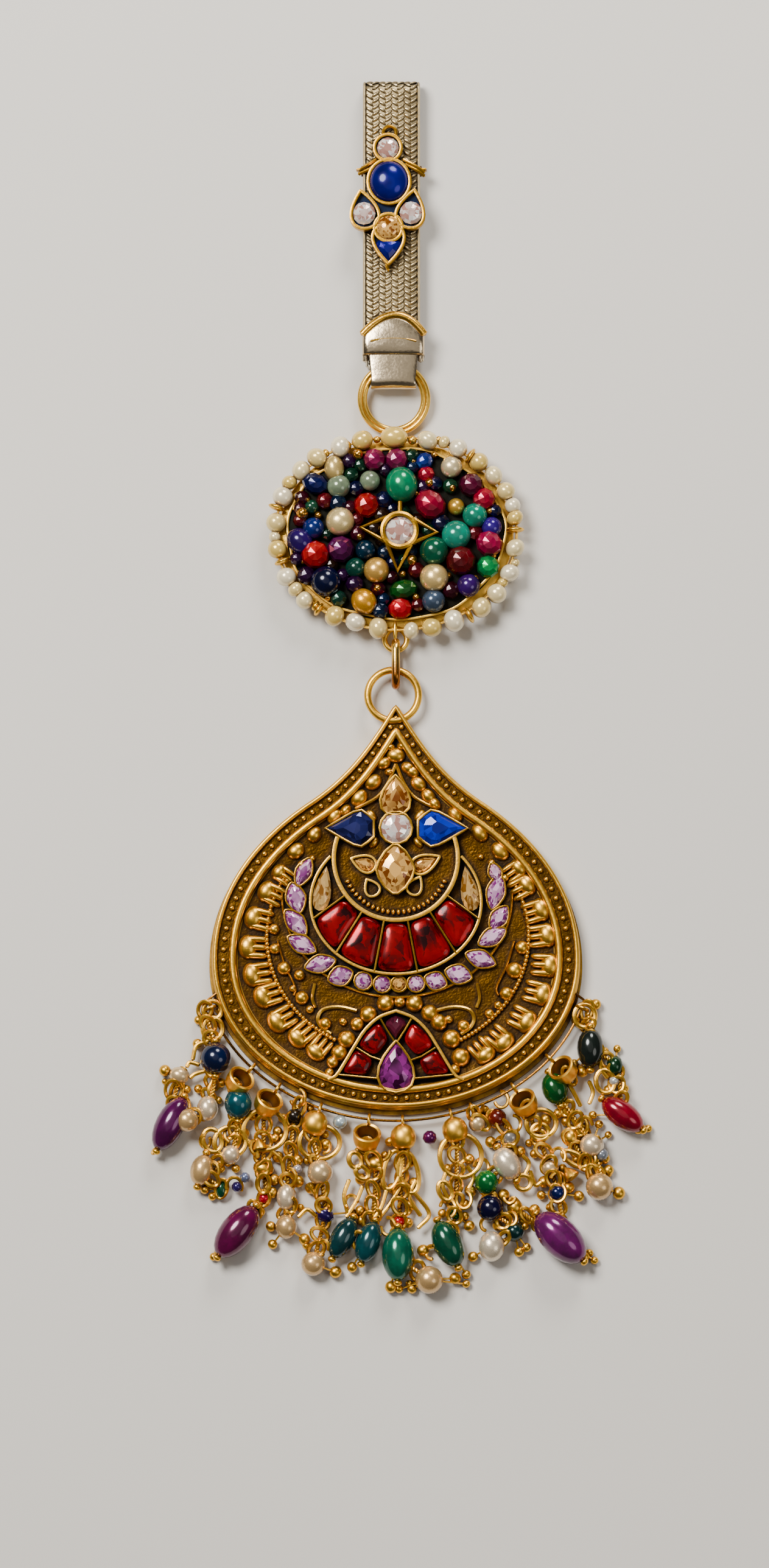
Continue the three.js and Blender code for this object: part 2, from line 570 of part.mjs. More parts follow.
// Places run along half the outline, from 0 at the foot to 1 at the tip.
const LOBES = { share: 0.8, roundness: 0.95 };
const LARGE = { from: 0.17, to: 0.62, count: 8, size: 3.6, height: 1.3 };
const SMALL = { from: 0.69, to: 0.88, count: 3, size: 2.4, height: 1 };
function lobe(u, { size, height }) {
  const p = half.getPointAt(u).multiplyScalar(LOBES.share);
  const along = half.getTangentAt(u);
  const turn = THREE.MathUtils.radToDeg(Math.atan2(along.y, along.x));
  const length = size * LOBES.roundness;
  return [1, -1].map((side) => dome(side * p.x, p.y, PENDANT.field, size, length, height, side * turn));
}
const spread = ({ from, to, count }) =>
  Array.from({ length: count }, (_, i) => from + ((to - from) * i) / (count - 1));
const lobes = [LARGE, SMALL].flatMap((row) => spread(row).flatMap((u) => lobe(u, row)));

// Raised lines of the relief: beaded wires, crescent, scrolls, fan and ogee

const low = PENDANT.field - 0.2;
const bothSides = (path, width, high) =>
  [path, mirrored(path)].map((line) => ridge(line, width, low, high));
const smooth = (points, count) => new THREE.SplineCurve(points.map(([x, y]) => v2(x, y))).getPoints(count);
const CRESCENT = { ringY: 14.7, ring: 10.1, outerY: 7.5, outerX: 13.9, outerH: 11.7 };
const reliefLines = [
  ...bothSides(arc(0.3, 1.5, 21.4, 16.7, -60, 30, 7), 0.7, 2.6),
  ridge(arc(0.2, 8.5, 18.9, 16.5, 165, 375, 15), 0.6, low, 2.7),
  ridge(arc(0, CRESCENT.outerY, CRESCENT.outerX, CRESCENT.outerH, 140, 400, 16), 0.9, low, 3.4),
  ridge(arc(0, CRESCENT.ringY, CRESCENT.ring, CRESCENT.ring, 165, 375, 14), 1, low, 3.6),
  ...bothSides(smooth([[6.5, -10], [9.6, -9.5], [12.2, -10.2], [12.7, -11.4], [11.2, -13.7]], 6), 0.9, 2.8),
  ...bothSides([v2(13.4, -5.7), v2(13.3, -9.6)], 0.8, 2.7),
  ...bothSides(smooth([[0, 29.8], [1.3, 26.7], [3.2, 24.7], [6.3, 23]], 6), 0.7, 2.9),
];

// Fan at the foot: an arch with dividers, and a row of grains outside it

const fanSide = [[0, -10.2], [2.8, -11.3], [5, -13.3], [6.7, -15.9], [8.3, -18.6], [9.6, -20.6]];
const fanLines = bothSides(smooth(fanSide, 7), 0.8, 3.2);
const rayFoot = v2(1, -15.9);
const fanRays = [v2(2.6, -11.6), v2(6, -16)].flatMap((end) => bothSides([rayFoot, end], 0.5, 2.9));
const GRAINS = [
  { x: 2, y: -8.9, d: 2.4 },
  { x: 5.1, y: -10.6, d: 2.5 },
  { x: 8.5, y: -14.8, d: 2.6 },
  { x: 10, y: -17.3, d: 2.6 },
  { x: 18.2, y: -7.5, d: 2 },
  { x: 18.8, y: -3.4, d: 2.1 },
];
const GRAIN_RISE = 0.55;
const grains = GRAINS.flatMap(({ x, y, d }) =>
  [1, -1].map((side) => dome(side * x, y, PENDANT.field, d, d, d * GRAIN_RISE))
);

// Stones of the pendant, each in a seat or between raised lines

const FIELD_STONE = { floor: 2.3, seat: 3.3, girdle: 3.4, wall: 0.55 };
const boss = oval(2.2, 2.2, 10);
const kite = pear(4.8, 7.6, 10);
const seated = [
  { name: "flower_stone", points: boss, x: 0, y: 19.7, high: 4.6, colour: CRYSTAL, cut: cabochon },
  { name: "flower_top_stone", points: pear(4.4, 6, 10), x: -0.1, y: 25.1, high: 4.2, colour: CHAMPAGNE },
  { name: "flower_left_stone", points: turned(kite, 90), x: -7.2, y: 19.6, high: 4.3, colour: SAPPHIRE },
  { name: "flower_right_stone", points: turned(kite, -90), x: 7.2, y: 19.6, high: 4.3, colour: SAPPHIRE },
  { name: "flower_low_stone", points: lozenge(5, 7.2, 8), x: -0.1, y: 13, high: 4.2, colour: CHAMPAGNE },
  { name: "fan_drop_stone", points: pear(5, 7, 10), x: 0, y: -19.6, high: 4, colour: AMETHYST },
];
const seatGrow = FIELD_STONE.wall + GAP;
const stoneSeats = seated.map(({ points, x, y }) =>
  upright(grown(points, seatGrow), low, FIELD_STONE.seat, x, y)
);

// Five rubies between the two lines of the crescent, then a stone in each horn
const polar = (radius, degrees) => {
  const angle = radians(degrees);
  return v2(radius * Math.sin(angle), CRESCENT.ringY - radius * Math.cos(angle));
};
// Distance from the middle of the inner ring to the outer line, along an angle from straight down.
function outerReach(degrees) {
  const line = arc(0, CRESCENT.outerY, CRESCENT.outerX, CRESCENT.outerH, 270, 450, 180);
  const wanted = Math.abs(degrees);
  const angle = (p) => THREE.MathUtils.radToDeg(Math.atan2(p.x, CRESCENT.ringY - p.y));
  return line.reduce((best, p) => (Math.abs(angle(p) - wanted) < Math.abs(angle(best) - wanted) ? p : best))
    .distanceTo(v2(0, CRESCENT.ringY));
}
const RUBY_ANGLES = { step: 21.5, width: 8.6, inset: 0.75 };
function crescentStone(middle, halfAngle) {
  const inner = CRESCENT.ring + RUBY_ANGLES.inset;
  const outer = (angle) => outerReach(angle) - RUBY_ANGLES.inset;
  const fromTo = [-halfAngle, 0, halfAngle];
  const far = fromTo.map((offset) => polar(outer(middle + offset), middle + offset));
  const nearer = fromTo.map((offset) => polar(inner, middle + offset)).reverse();
  const corners = [...far, ...nearer];
  const centre = corners.reduce((sum, p) => sum.add(p), v2(0, 0)).divideScalar(corners.length);
  return { points: shifted(corners, -centre.x, -centre.y), x: centre.x, y: centre.y };
}
const rubies = [-2, -1, 0, 1, 2].map((step) => ({
  name: `ruby_${step + 3}`,
  ...crescentStone(step * RUBY_ANGLES.step, RUBY_ANGLES.width),
  high: 3.9,
  colour: RUBY,
}));
const dividers = [-1.5, -0.5, 0.5, 1.5].map((step) => {
  const angle = step * RUBY_ANGLES.step;
  return ridge([polar(CRESCENT.ring, angle), polar(outerReach(angle), angle)], 0.7, low, 3.2);
});
const horns = [-1, 1].map((side) => ({
  name: side < 0 ? "horn_left_stone" : "horn_right_stone",
  points: turned(pear(2.8, 6.6, 8), side * 8),
  x: side * 11.9,
  y: 9.6,
  high: 3.7,
  colour: CHAMPAGNE,
}));
const FAN_HIGH = 3.5;
const fanTop = turned(pear(4, 4.4, 8), 180);
const fanStone = (row, side, points, x, y) => ({
  name: `fan_${row}_${side < 0 ? "left" : "right"}_stone`,
  points,
  x: side * x,
  y,
  high: FAN_HIGH,
  colour: RUBY,
});
const fanStones = [
  { name: "fan_top_stone", points: fanTop, x: 0, y: -13, high: FAN_HIGH, colour: AMETHYST },
  ...[-1, 1].flatMap((side) => [
    fanStone("upper", side, turned(pear(2.6, 4.4, 8), side * 118), 3.9, -15),
    fanStone("lower", side, turned(pear(2.8, 4, 8), side * 150), 5.6, -18.6),
  ]),
];
const loose = [...rubies, ...horns, ...fanStones];
const LOOSE_GIRDLE = 3;

// Ring at the tip, and the rail along the foot that carries the fringe
const tipHoop = hoop(PENDANT_RING.radius, PENDANT_RING.wire, RING_STEPS);
const tipRing = solid(tipHoop.translate(PENDANT_RING.x, PENDANT_RING.y, PENDANT_RING.z));
const railPoint = (degrees) => {
  const angle = radians(degrees);
  return v3(RAIL.rx * Math.cos(angle), PENDANT.widest + RAIL.ry * Math.sin(angle), RAIL.z);
};
const railEnd = (side) => v3(side * RAIL.endX, RAIL.endY, RAIL.z);
const railPath = [railEnd(-1), ...spread(RAIL).map(railPoint), railEnd(1)];
const rail = wire(railPath, RAIL.wire, 24);

const metal = joined([
  tray, tipRing, rail,
  ...lobes, ...reliefLines, ...fanLines, ...fanRays, ...dividers, ...grains, ...stoneSeats,
]);
const pockets = [
  ...seated.map(({ points, x, y }) => stonePocket(points, FIELD_STONE.floor, x, y)),
  ...loose.map(({ points, x, y }) => stonePocket(points, PENDANT.field, x, y)),
];
const pendantShape = pockets.reduce((shape, hole) => shape.subtract(hole), metal);
const pendantGroup = new THREE.Group().add(piece("pendant", pendantShape, GOLD));
seated.forEach(({ name, points, x, y, high, colour, cut = cutStone }) => {
  const stone = piece(name, cut(points, FIELD_STONE.floor + GAP, FIELD_STONE.girdle, high), colour);
  stone.position.set(x, y, 0);
  pendantGroup.add(stone);
});
loose.forEach(({ name, points, x, y, high, colour }) => {
  const stone = piece(name, cutStone(points, PENDANT.field + GAP, LOOSE_GIRDLE, high), colour);
  stone.position.set(x, y, 0);
  pendantGroup.add(stone);
});

// Garland of small rose stones along the crescent, set on one narrow strip

const GARLAND = { x: 0.1, y: 8.5, rx: 16.6, ry: 14.4, from: 165, to: 375, stones: 17 };
const stripLow = PENDANT.field + GAP;
const garlandLine = arc(
  GARLAND.x, GARLAND.y, GARLAND.rx, GARLAND.ry, GARLAND.from, GARLAND.to, GARLAND.stones - 1
);

// Half section of a stone, from the foot up: foot, girdle and edge of the table, as shares of its half width.
const STONE_SECTION = [[0.8, 0], [1, 0.6], [0.6, 1.2]];

// Sections along one stone: shift from its middle, half width and share of the full height.
const STONE_STEPS = [[-1.3, 0.35, 0.4], [-0.75, 1.35, 1], [0.75, 1.35, 1], [1.3, 0.35, 0.4]];
function garlandShape() {
  const position = [];
  const rings = [];
  garlandLine.forEach((p) => {
    const along = v2(-(p.y - GARLAND.y) / GARLAND.ry, (p.x - GARLAND.x) / GARLAND.rx).normalize();
    STONE_STEPS.forEach(([shift, wide, high]) => rings.push({ p, along, shift, wide, high }));
  });
  rings.forEach(({ p, along, shift, wide, high }) => {
    const edge = STONE_SECTION.map(([share, z]) => [share * wide, z * high]);
    const loopPoints = [...edge, ...edge.map(([across, z]) => [-across, z]).reverse()];
    loopPoints.forEach(([across, z]) => {
      const x = p.x + along.x * shift + along.y * across;
      const y = p.y + along.y * shift - along.x * across;
      position.push(x, y, stripLow + z);
    });
  });
  const sides = STONE_SECTION.length * 2;
  const index = [];
  const last = (rings.length - 1) * sides;
  for (let start = 0; start < last; start += sides) {
    for (let i = 0; i < sides; i++) {
      const [a, b] = [start + i, start + ((i + 1) % sides)];
      index.push(a, a + sides, b + sides, a, b + sides, b);
    }
  }
  for (let i = 1; i < sides - 1; i++) {
    index.push(0, i, i + 1, last, last + i + 1, last + i);
  }
  const geometry = new THREE.BufferGeometry().setIndex(index);
  return solid(geometry.setAttribute("position", new THREE.Float32BufferAttribute(position, 3)));
}
const garland = piece("rose_garland", garlandShape(), ROSE);
pendantGroup.add(garland);

// Bead fringe: each drop hangs by a loop on the rail, most with a cup over the loop

const DROPS = [
  { name: "drop_01", at: 197, cup: false, colour: AMETHYST, items: [
    { x: -29.3, y: -17.9, w: 5.2, l: 5.2 },
    { x: -30.6, y: -26, w: 3.5, l: 4.2 },
    { x: -33.9, y: -28, w: 3.8, l: 3.8, z: 3.2 },
    { x: -36.6, y: -28.5, w: 4.8, l: 9.5, turn: -27 },
  ] },
  { name: "drop_02", at: 222, cup: true, colour: PEARL, items: [
    { x: -25.6, y: -25.2, w: 4.5, l: 5.2 },
    { x: -26.8, y: -33.5, w: 3.2, l: 3.2 },
    { x: -31.5, y: -36, w: 3.8, l: 5.2, turn: -15 },
  ] },
  { name: "drop_03", at: 232.5, cup: true, colour: AMETHYST, items: [
    { x: -21.5, y: -35.7, w: 2.8, l: 3.5, turn: 80 },
    { x: -25.8, y: -46, w: 5.5, l: 10, turn: -37 },
  ] },
  { name: "drop_04", at: 241, cup: false, colour: PEARL, items: [
    { x: -16.5, y: -27.2, w: 2.6, l: 2.6 },
    { x: -17.8, y: -40.4, w: 3.2, l: 4.4 },
    { x: -17.8, y: -45.2, w: 3.5, l: 4 },
  ] },
  { name: "drop_05", at: 247, cup: true, colour: PEARL, items: [
    { x: -12.3, y: -36.4, w: 4.2, l: 4.2 },
    { x: -13.4, y: -51.2, w: 4, l: 4 },
  ] },
  { name: "drop_06", at: 262, cup: true, colour: EMERALD, items: [
    { x: -3.3, y: -35, w: 2.8, l: 3.2, turn: 80 },
    { x: -4.5, y: -47.7, w: 4, l: 7, turn: -18 },
    { x: -8.6, y: -47, w: 4, l: 7.2, turn: -27 },
  ] },
  { name: "drop_07", at: 272, cup: true, colour: EMERALD, items: [
    { x: 0.3, y: -49.7, w: 5.2, l: 8.6 },
    { x: 5.4, y: -53.8, w: 4.6, l: 4.6 },
  ] },
  { name: "drop_08", at: 286.5, cup: true, colour: EMERALD, items: [
    { x: 8.4, y: -48, w: 4.8, l: 8, turn: 24 },
  ] },
  { name: "drop_09", at: 293, cup: false, colour: PEARL, items: [
    { x: 13.2, y: -28.4, w: 2.9, l: 2.9 },
    { x: 16.4, y: -27.5, w: 3.2, l: 3.2 },
    { x: 18.6, y: -30.6, w: 3, l: 3 },
    { x: 18, y: -35, w: 4.3, l: 5.8, turn: 30 },
    { x: 14.7, y: -38, w: 4, l: 4.2 },
    { x: 15.3, y: -42.2, w: 4.4, l: 4.4 },
    { x: 19.2, y: -46, w: 3.4, l: 3.4 },
    { x: 15.5, y: -48.4, w: 4.3, l: 5 },
  ] },
  { name: "drop_10", at: 307.5, cup: true, colour: AMETHYST, items: [
    { x: 25, y: -35.7, w: 3, l: 3 },
    { x: 26.2, y: -39.7, w: 3, l: 3 },
    { x: 26.6, y: -47, w: 6.2, l: 10.5, turn: 45 },
  ] },
  { name: "drop_11", at: 322.5, cup: true, colour: PEARL, items: [
    { x: 25.8, y: -22.8, w: 4.2, l: 5.4 },
    { x: 31.8, y: -32, w: 4, l: 4 },
    { x: 33, y: -38.7, w: 4.5, l: 4.5 },
  ] },
  { name: "drop_12", at: 343, cup: false, colour: RUBY, items: [
    { x: 31.6, y: -16.2, w: 4.4, l: 6.6 },
    { x: 35.6, y: -19, w: 2.8, l: 3.4 },
    { x: 36.8, y: -27, w: 4.4, l: 8, turn: 53 },
  ] },
];
const STRAND_WIRE = 0.6;
const LIFT = 0.05;
const rod = (from, to) => wire([from, from.clone().lerp(to, 0.5), to], STRAND_WIRE, 1);

// Cup in section, from the middle of its foot out to the mouth and back down inside, as shares of its
// half width and of its length.
const CUP_SECTION = [[0, 0], [0.62, 0.06], [1, 0.5], [0.96, 1], [0.75, 1], [0, 0.3]];
const cupWide = CUP.width / 2;
const cupProfile = CUP_SECTION.map(([across, along]) => v2(across * cupWide, along * CUP.length));

function dropShape({ at, cup, items }) {
  const angle = radians(at);
  const out = v3(Math.cos(angle) / RAIL.rx, Math.sin(angle) / RAIL.ry, 0).normalize();
  const hang = railPoint(at);
  const loop = hoop(LOOP.radius, LOOP.wire, 6)
    .rotateX(Math.PI / 2)
    .rotateZ(Math.atan2(out.y, out.x))
    .translate(...hang.clone().addScaledVector(out, LOOP.out).toArray());
  const solids = [solid(loop)];
  const route = [hang.clone().addScaledVector(out, LOOP.out + LOOP.radius)];
  if (cup) {
    const foot = hang.clone().addScaledVector(out, CUP.mouth + CUP.length);
    foot.z = cupWide + LIFT;
    const geometry = new THREE.LatheGeometry(cupProfile, BEAD_SIDES)
      .rotateZ(Math.atan2(out.y, out.x) + Math.PI / 2)
      .translate(...foot.toArray());
    solids.push(solid(geometry));
    route.push(foot.clone().addScaledVector(out, -CUP.anchor));
  }
  items.forEach((item) => {
    const z = item.z ?? item.w / 2 + LIFT;
    solids.push(bead({ ...item, z }));
    route.push(v3(item.x, item.y, z));
  });
  route.slice(1).forEach((to, i) => solids.push(rod(route[i], to)));
  return joined(solids);
}
const dropPieces = DROPS.map((entry) => piece(entry.name, dropShape(entry), entry.colour));
const fringeGroup = new THREE.Group().add(...dropPieces);

export default new THREE.Group().add(
  strapGroup, strapClip, settingGroup, clusterGroup, connectingLink, pendantGroup, fringeGroup
);
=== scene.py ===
"""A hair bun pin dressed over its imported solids.

From the top: woven strap, stone setting, clip, bead cluster, drop pendant and bead fringe.
Lengths are millimetres until a mesh is made. +Y runs from the fringe to the strap and +Z is up.
"""

import bpy
import numpy as np
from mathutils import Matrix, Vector


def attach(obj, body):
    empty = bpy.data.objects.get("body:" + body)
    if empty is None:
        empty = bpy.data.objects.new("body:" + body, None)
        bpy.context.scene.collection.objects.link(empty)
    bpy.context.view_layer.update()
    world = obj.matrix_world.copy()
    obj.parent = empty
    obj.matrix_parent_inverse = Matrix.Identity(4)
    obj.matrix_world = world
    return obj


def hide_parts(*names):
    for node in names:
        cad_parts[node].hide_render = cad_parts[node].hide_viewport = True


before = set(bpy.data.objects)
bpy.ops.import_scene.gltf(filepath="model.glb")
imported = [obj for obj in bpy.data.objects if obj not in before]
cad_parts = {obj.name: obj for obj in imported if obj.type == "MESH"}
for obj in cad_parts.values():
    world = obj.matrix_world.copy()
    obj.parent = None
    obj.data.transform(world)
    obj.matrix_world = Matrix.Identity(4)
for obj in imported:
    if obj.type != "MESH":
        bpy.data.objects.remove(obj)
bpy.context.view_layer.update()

# Strap: a flat band woven from flattened wire, pale grey-gold on top, with painted shade darkening its lower
# strands and the gaps between them.
# It is folded over the bar of the pin; the front leaf runs to the clip and a short tail lies behind.
STRAP = {"x": -0.7, "end": 100.0, "fold_y": 141.5, "fold_z": 1.9, "radius": 1.4, "tail": 5.0}
WEAVE = {"columns": 8, "step": 1.03, "first": 0.6, "pitch": 1.05, "turn": 36, "lift": 0.25}
STRAND = {"length": 1.6, "width": 0.56, "height": 0.6}
EDGE = {"x": 4.42, "half_wide": 0.28, "half_high": 0.48}
BACKING = {"half_wide": 4.4, "half_high": 0.24}
TAU = 2 * np.pi
MM = 0.001


def full_turn(count):
    """Even steps round a circle, in radians."""
    return np.linspace(0, TAU, count, endpoint=False)


def unit(vectors):
    """Vectors brought to a length of 1."""
    return vectors / np.linalg.norm(vectors, axis=-1, keepdims=True)


def strap_line(length):
    """Point, direction and outward side at a length along the strap.
    It runs straight, round half a circle at the fold, and straight back."""
    straight = STRAP["fold_y"] - STRAP["end"]
    turn = np.clip((length - straight) / STRAP["radius"], 0, np.pi)
    back = np.maximum(length - straight - np.pi * STRAP["radius"], 0)
    none = 0 * turn
    along = np.stack([none, np.cos(turn), -np.sin(turn)], -1)
    out = np.stack([none, np.sin(turn), np.cos(turn)], -1)
    y = np.minimum(STRAP["end"] + length, STRAP["fold_y"]) + STRAP["radius"] * np.sin(turn) - back
    z = STRAP["fold_z"] + STRAP["radius"] * np.cos(turn)
    return np.stack([none + STRAP["x"], y, z], -1), along, out


def skin(rings, loop=False, ends=None):
    """A closed surface through rings of points: quads from ring to ring, and a fan over each end.
    A looped surface has no ends. A triangle repeats its last corner."""
    rows, sides = rings.shape[:2]
    number = np.arange(rows * sides).reshape(rows, sides)
    low, high = (number, np.roll(number, -1, 0)) if loop else (number[:-1], number[1:])
    quads = np.stack([low, np.roll(low, -1, 1), np.roll(high, -1, 1), high], -1).reshape(-1, 4)
    points = rings.reshape(-1, 3)
    if loop:
        return points, quads
    poles = rings[[0, -1]].mean(1) if ends is None else np.array(ends, float)
    foot, head = np.full(sides, len(points)), np.full(sides, len(points) + 1)
    below = np.stack([np.roll(number[0], -1), number[0], foot, foot], -1)
    above = np.stack([number[-1], np.roll(number[-1], -1), head, head], -1)
    return np.concatenate([points, poles]), np.concatenate([quads, below, above])


def sweep(path, half_wide, half_high=None, sides=10, loop=False, up=(0, 0, 1), power=1.0):
    """An oval section carried along a path: its width lies on up x along, and the ends close to blunt points.
    A power below 1 on the cosine and sine squares the oval off."""
    path = np.asarray(path, float)
    along = unit(np.roll(path, -1, 0) - np.roll(path, 1, 0) if loop else np.gradient(path, axis=0))
    across = unit(np.cross(np.broadcast_to(up, path.shape), along))
    over = np.cross(along, across)
    around = full_turn(sides)
    wide = np.broadcast_to(half_wide, len(path))[:, None, None]
    high = wide if half_high is None else np.broadcast_to(half_high, len(path))[:, None, None]
    x, y = np.cos(around)[:, None], np.sin(around)[:, None]
    x, y = np.sign(x) * np.abs(x) ** power, np.sign(y) * np.abs(y) ** power
    section = wide * x * across[:, None] + high * y * over[:, None]
    blunt = 0.6 * np.minimum(wide, high)[[0, -1], 0] * np.array([[-1.0], [1.0]])
    return skin(path[:, None] + section, loop, path[[0, -1]] + along[[0, -1]] * blunt)


def ball(rings, sides):
    """A unit ball about Z: rings at even polar angles between two poles."""
    polar = np.linspace(np.pi, 0, rings + 2)[1:-1, None]
    around = full_turn(sides)
    flat = np.sin(polar)
    grid = np.stack([flat * np.cos(around), flat * np.sin(around), np.cos(polar) + 0 * around], -1)
    return skin(grid, ends=[(0, 0, -1), (0, 0, 1)])


def repeated(shape, places, axes):
    """One shape set down many times: its points along each place's three axes, plus the place."""
    points, faces = shape
    moved = places[:, None] + np.einsum("pk,nkc->npc", points, axes)
    shift = (np.arange(len(places)) * len(points))[:, None, None]
    return moved.reshape(-1, 3), (faces + shift).reshape(-1, 4)


def add_piece(name, lots, nodes=(), crease=40):
    """One object from lots of surfaces, each lot with its finish.
    A surface may carry colours for its points; the others are white there."""
    surfaces = [surface for _, lot in lots for surface in lot]
    counts = [len(surface[0]) for surface in surfaces]
    starts = np.cumsum([0] + counts[:-1])
    points = np.concatenate([surface[0] for surface in surfaces]) * MM
    faces = np.concatenate([surface[1] + start for surface, start in zip(surfaces, starts)])
    used = np.ones(faces.shape, bool)
    used[:, 3] = faces[:, 2] != faces[:, 3]
    corners = used.sum(1)
    mesh = bpy.data.meshes.new(name)
    mesh.vertices.add(len(points))
    mesh.vertices.foreach_set("co", points.ravel())
    mesh.loops.add(int(corners.sum()))
    mesh.loops.foreach_set("vertex_index", faces[used].astype(np.int32))
    mesh.polygons.add(len(faces))
    mesh.polygons.foreach_set("loop_start", (np.cumsum(corners) - corners).astype(np.int32))
    finish = np.repeat(np.arange(len(lots)), [sum(len(s[1]) for s in lot) for _, lot in lots])
    mesh.polygons.foreach_set("material_index", finish.astype(np.int32))
    mesh.update(calc_edges=True)
    mesh.set_sharp_from_angle(angle=np.radians(crease))
    if any(len(surface) > 2 for surface in surfaces):
        tints = [s[2] if len(s) > 2 else np.ones((len(s[0]), 4)) for s in surfaces]
        tint = mesh.attributes.new("tint", "FLOAT_COLOR", "POINT")
        tint.data.foreach_set("color", np.concatenate(tints).ravel())
    for material, _ in lots:
        mesh.materials.append(material)
    piece = bpy.data.objects.new(name, mesh)
    bpy.context.scene.collection.objects.link(piece)
    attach(piece, "root")
    if nodes:
        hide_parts(*nodes)


class Flow:
    """A socket among a material's nodes: arithmetic adds Math nodes, and node() adds any other."""

    def __init__(self, tree, socket=None):
        self.tree = tree
        self.socket = socket

    def node(self, kind, settings, values, output=0):
        """A node of this type: its settings, then its sockets by name or number, as values or links."""
        made = self.tree.nodes.new(kind)
        for key, value in settings.items():
            setattr(made, key, value)
        for key, value in values.items():
            if isinstance(value, Flow):
                self.tree.links.new(value.socket, made.inputs[key])
            else:
                made.inputs[key].default_value = value
        return Flow(self.tree, made.outputs[output] if made.outputs else None)

    def maths(self, operation, first, second):
        return self.node("ShaderNodeMath", {"operation": operation}, {0: first, 1: second})

    def __add__(self, other):
        return self.maths("ADD", self, other)

    def __sub__(self, other):
        return self.maths("SUBTRACT", self, other)

    def __rsub__(self, other):
        return self.maths("SUBTRACT", other, self)

    def __mul__(self, other):
        return self.maths("MULTIPLY", self, other)

    __radd__, __rmul__ = __add__, __mul__

    def between(self, low, high):
        """0 below low, 1 above high, and a smooth step between."""
        values = {0: self, 1: low, 2: high}
        return self.node("ShaderNodeMapRange", {"interpolation_type": "SMOOTHSTEP"}, values)

    def blend(self, factor, first, second):
        """One colour turning into another."""
        return self.node("ShaderNodeMix", {"data_type": "RGBA"}, {0: factor, 6: first, 7: second}, 2)

    def place(self):
        """Where a point is on the piece, in metres."""
        return self.node("ShaderNodeTexCoord", {}, {}, "Object")

    def noise(self, place, scale):
        """Soft noise about 0, with this many lumps to the metre."""
        return self.node("ShaderNodeTexNoise", {}, {"Vector": place, "Scale": scale, "Detail": 3.0}) - 0.5

    def bump(self, height, distance):
        """A dented surface, with the depth in metres."""
        return self.node("ShaderNodeBump", {}, {"Height": height, "Distance": distance, "Strength": 1.0})


def new_finish(name):
    """An empty material and the flow that its nodes are added to."""
    made = bpy.data.materials.new(name)
    made.use_nodes = True
    made.node_tree.nodes.clear()
    return made, Flow(made.node_tree)


def coated(flow, values):
    """A shader with these socket values, joined to the material's output."""
    shader = flow.node("ShaderNodeBsdfPrincipled", {}, values)
    flow.node("ShaderNodeOutputMaterial", {}, {"Surface": shader})


def ink(code):
    """A hex colour as linear red, green and blue with full alpha."""
    share = np.array([int(code[i : i + 2], 16) for i in (1, 3, 5)]) / 255
    linear = np.where(share <= 0.04045, share / 12.92, ((share + 0.055) / 1.055) ** 2.4)
    return (*linear.tolist(), 1.0)


def metal_finish(name, bright, dark, low, high, rough=0.28, wear=0.5, dent=0.06, mottle=1.0):
    """Metal rubbed bright where it stands free and dark in its hollows and low parts, broken up by noise. The
    dark is partly patina and partly painted shade, laid on by an ambient occlusion node.
    """
    material, flow = new_finish(name)
    place = flow.place()
    height = flow.node("ShaderNodeSeparateXYZ", {}, {0: place}, 2) * (1 / MM)
    cloud, grain = flow.noise(place, 420.0), flow.noise(place, 2600.0)
    rise = (height + cloud * wear).between(low, high)
    # Painted shade: ambient occlusion darkens the colour wherever the metal is shut in by nearby surfaces.
    occlusion_shade = flow.node("ShaderNodeAmbientOcclusion", {"samples": 8}, {"Distance": 1.4 * MM}, "AO")
    # Mask of bright metal against dark: painted shade mixed with height, noise wear and patina.
    wear_and_shade = (occlusion_shade * 0.8 + rise * 0.35 + cloud * 0.25 * mottle + grain * 0.12 * mottle).between(0.42, 0.98)
    shade = flow.blend((cloud + 0.5) * 0.3 * mottle, ink(bright), ink(dark))
    coated(flow, {
        "Base Color": flow.blend(wear_and_shade, ink(dark), shade),
        "Metallic": 0.7 + 0.3 * wear_and_shade,
        "Roughness": rough + 0.25 * (1 - wear_and_shade) + grain * 0.15,
        "Normal": flow.bump(cloud + grain * 0.4, MM * dent),
    })
    return material


def woven(lift, whole):
    """Strands in columns along the strap, leaning left and right by turns, lifted off its middle."""
    columns = np.arange(WEAVE["columns"])
    rows = np.arange(WEAVE["first"], whole, WEAVE["pitch"])
    length = np.minimum((rows[:, None] + 0.5 * WEAVE["pitch"] * (columns % 2)).ravel(), whole)
    lean = np.radians(WEAVE["turn"]) * np.tile(np.where(columns % 2, 1, -1), len(rows))[:, None]
    across = np.tile((columns - (WEAVE["columns"] - 1) / 2) * WEAVE["step"], len(rows))[:, None]
    middle, along, out = strap_line(length)
    side = np.array([1.0, 0, 0])
    strand = (np.cos(lean) * side + np.sin(lean) * along) * STRAND["length"]
    width = (np.cos(lean) * along - np.sin(lean) * side) * STRAND["width"]
    axes = np.stack([strand, width, out * STRAND["height"]], 1) / 2
    return repeated(ball(5, 8), middle + across * side + lift * out, axes)


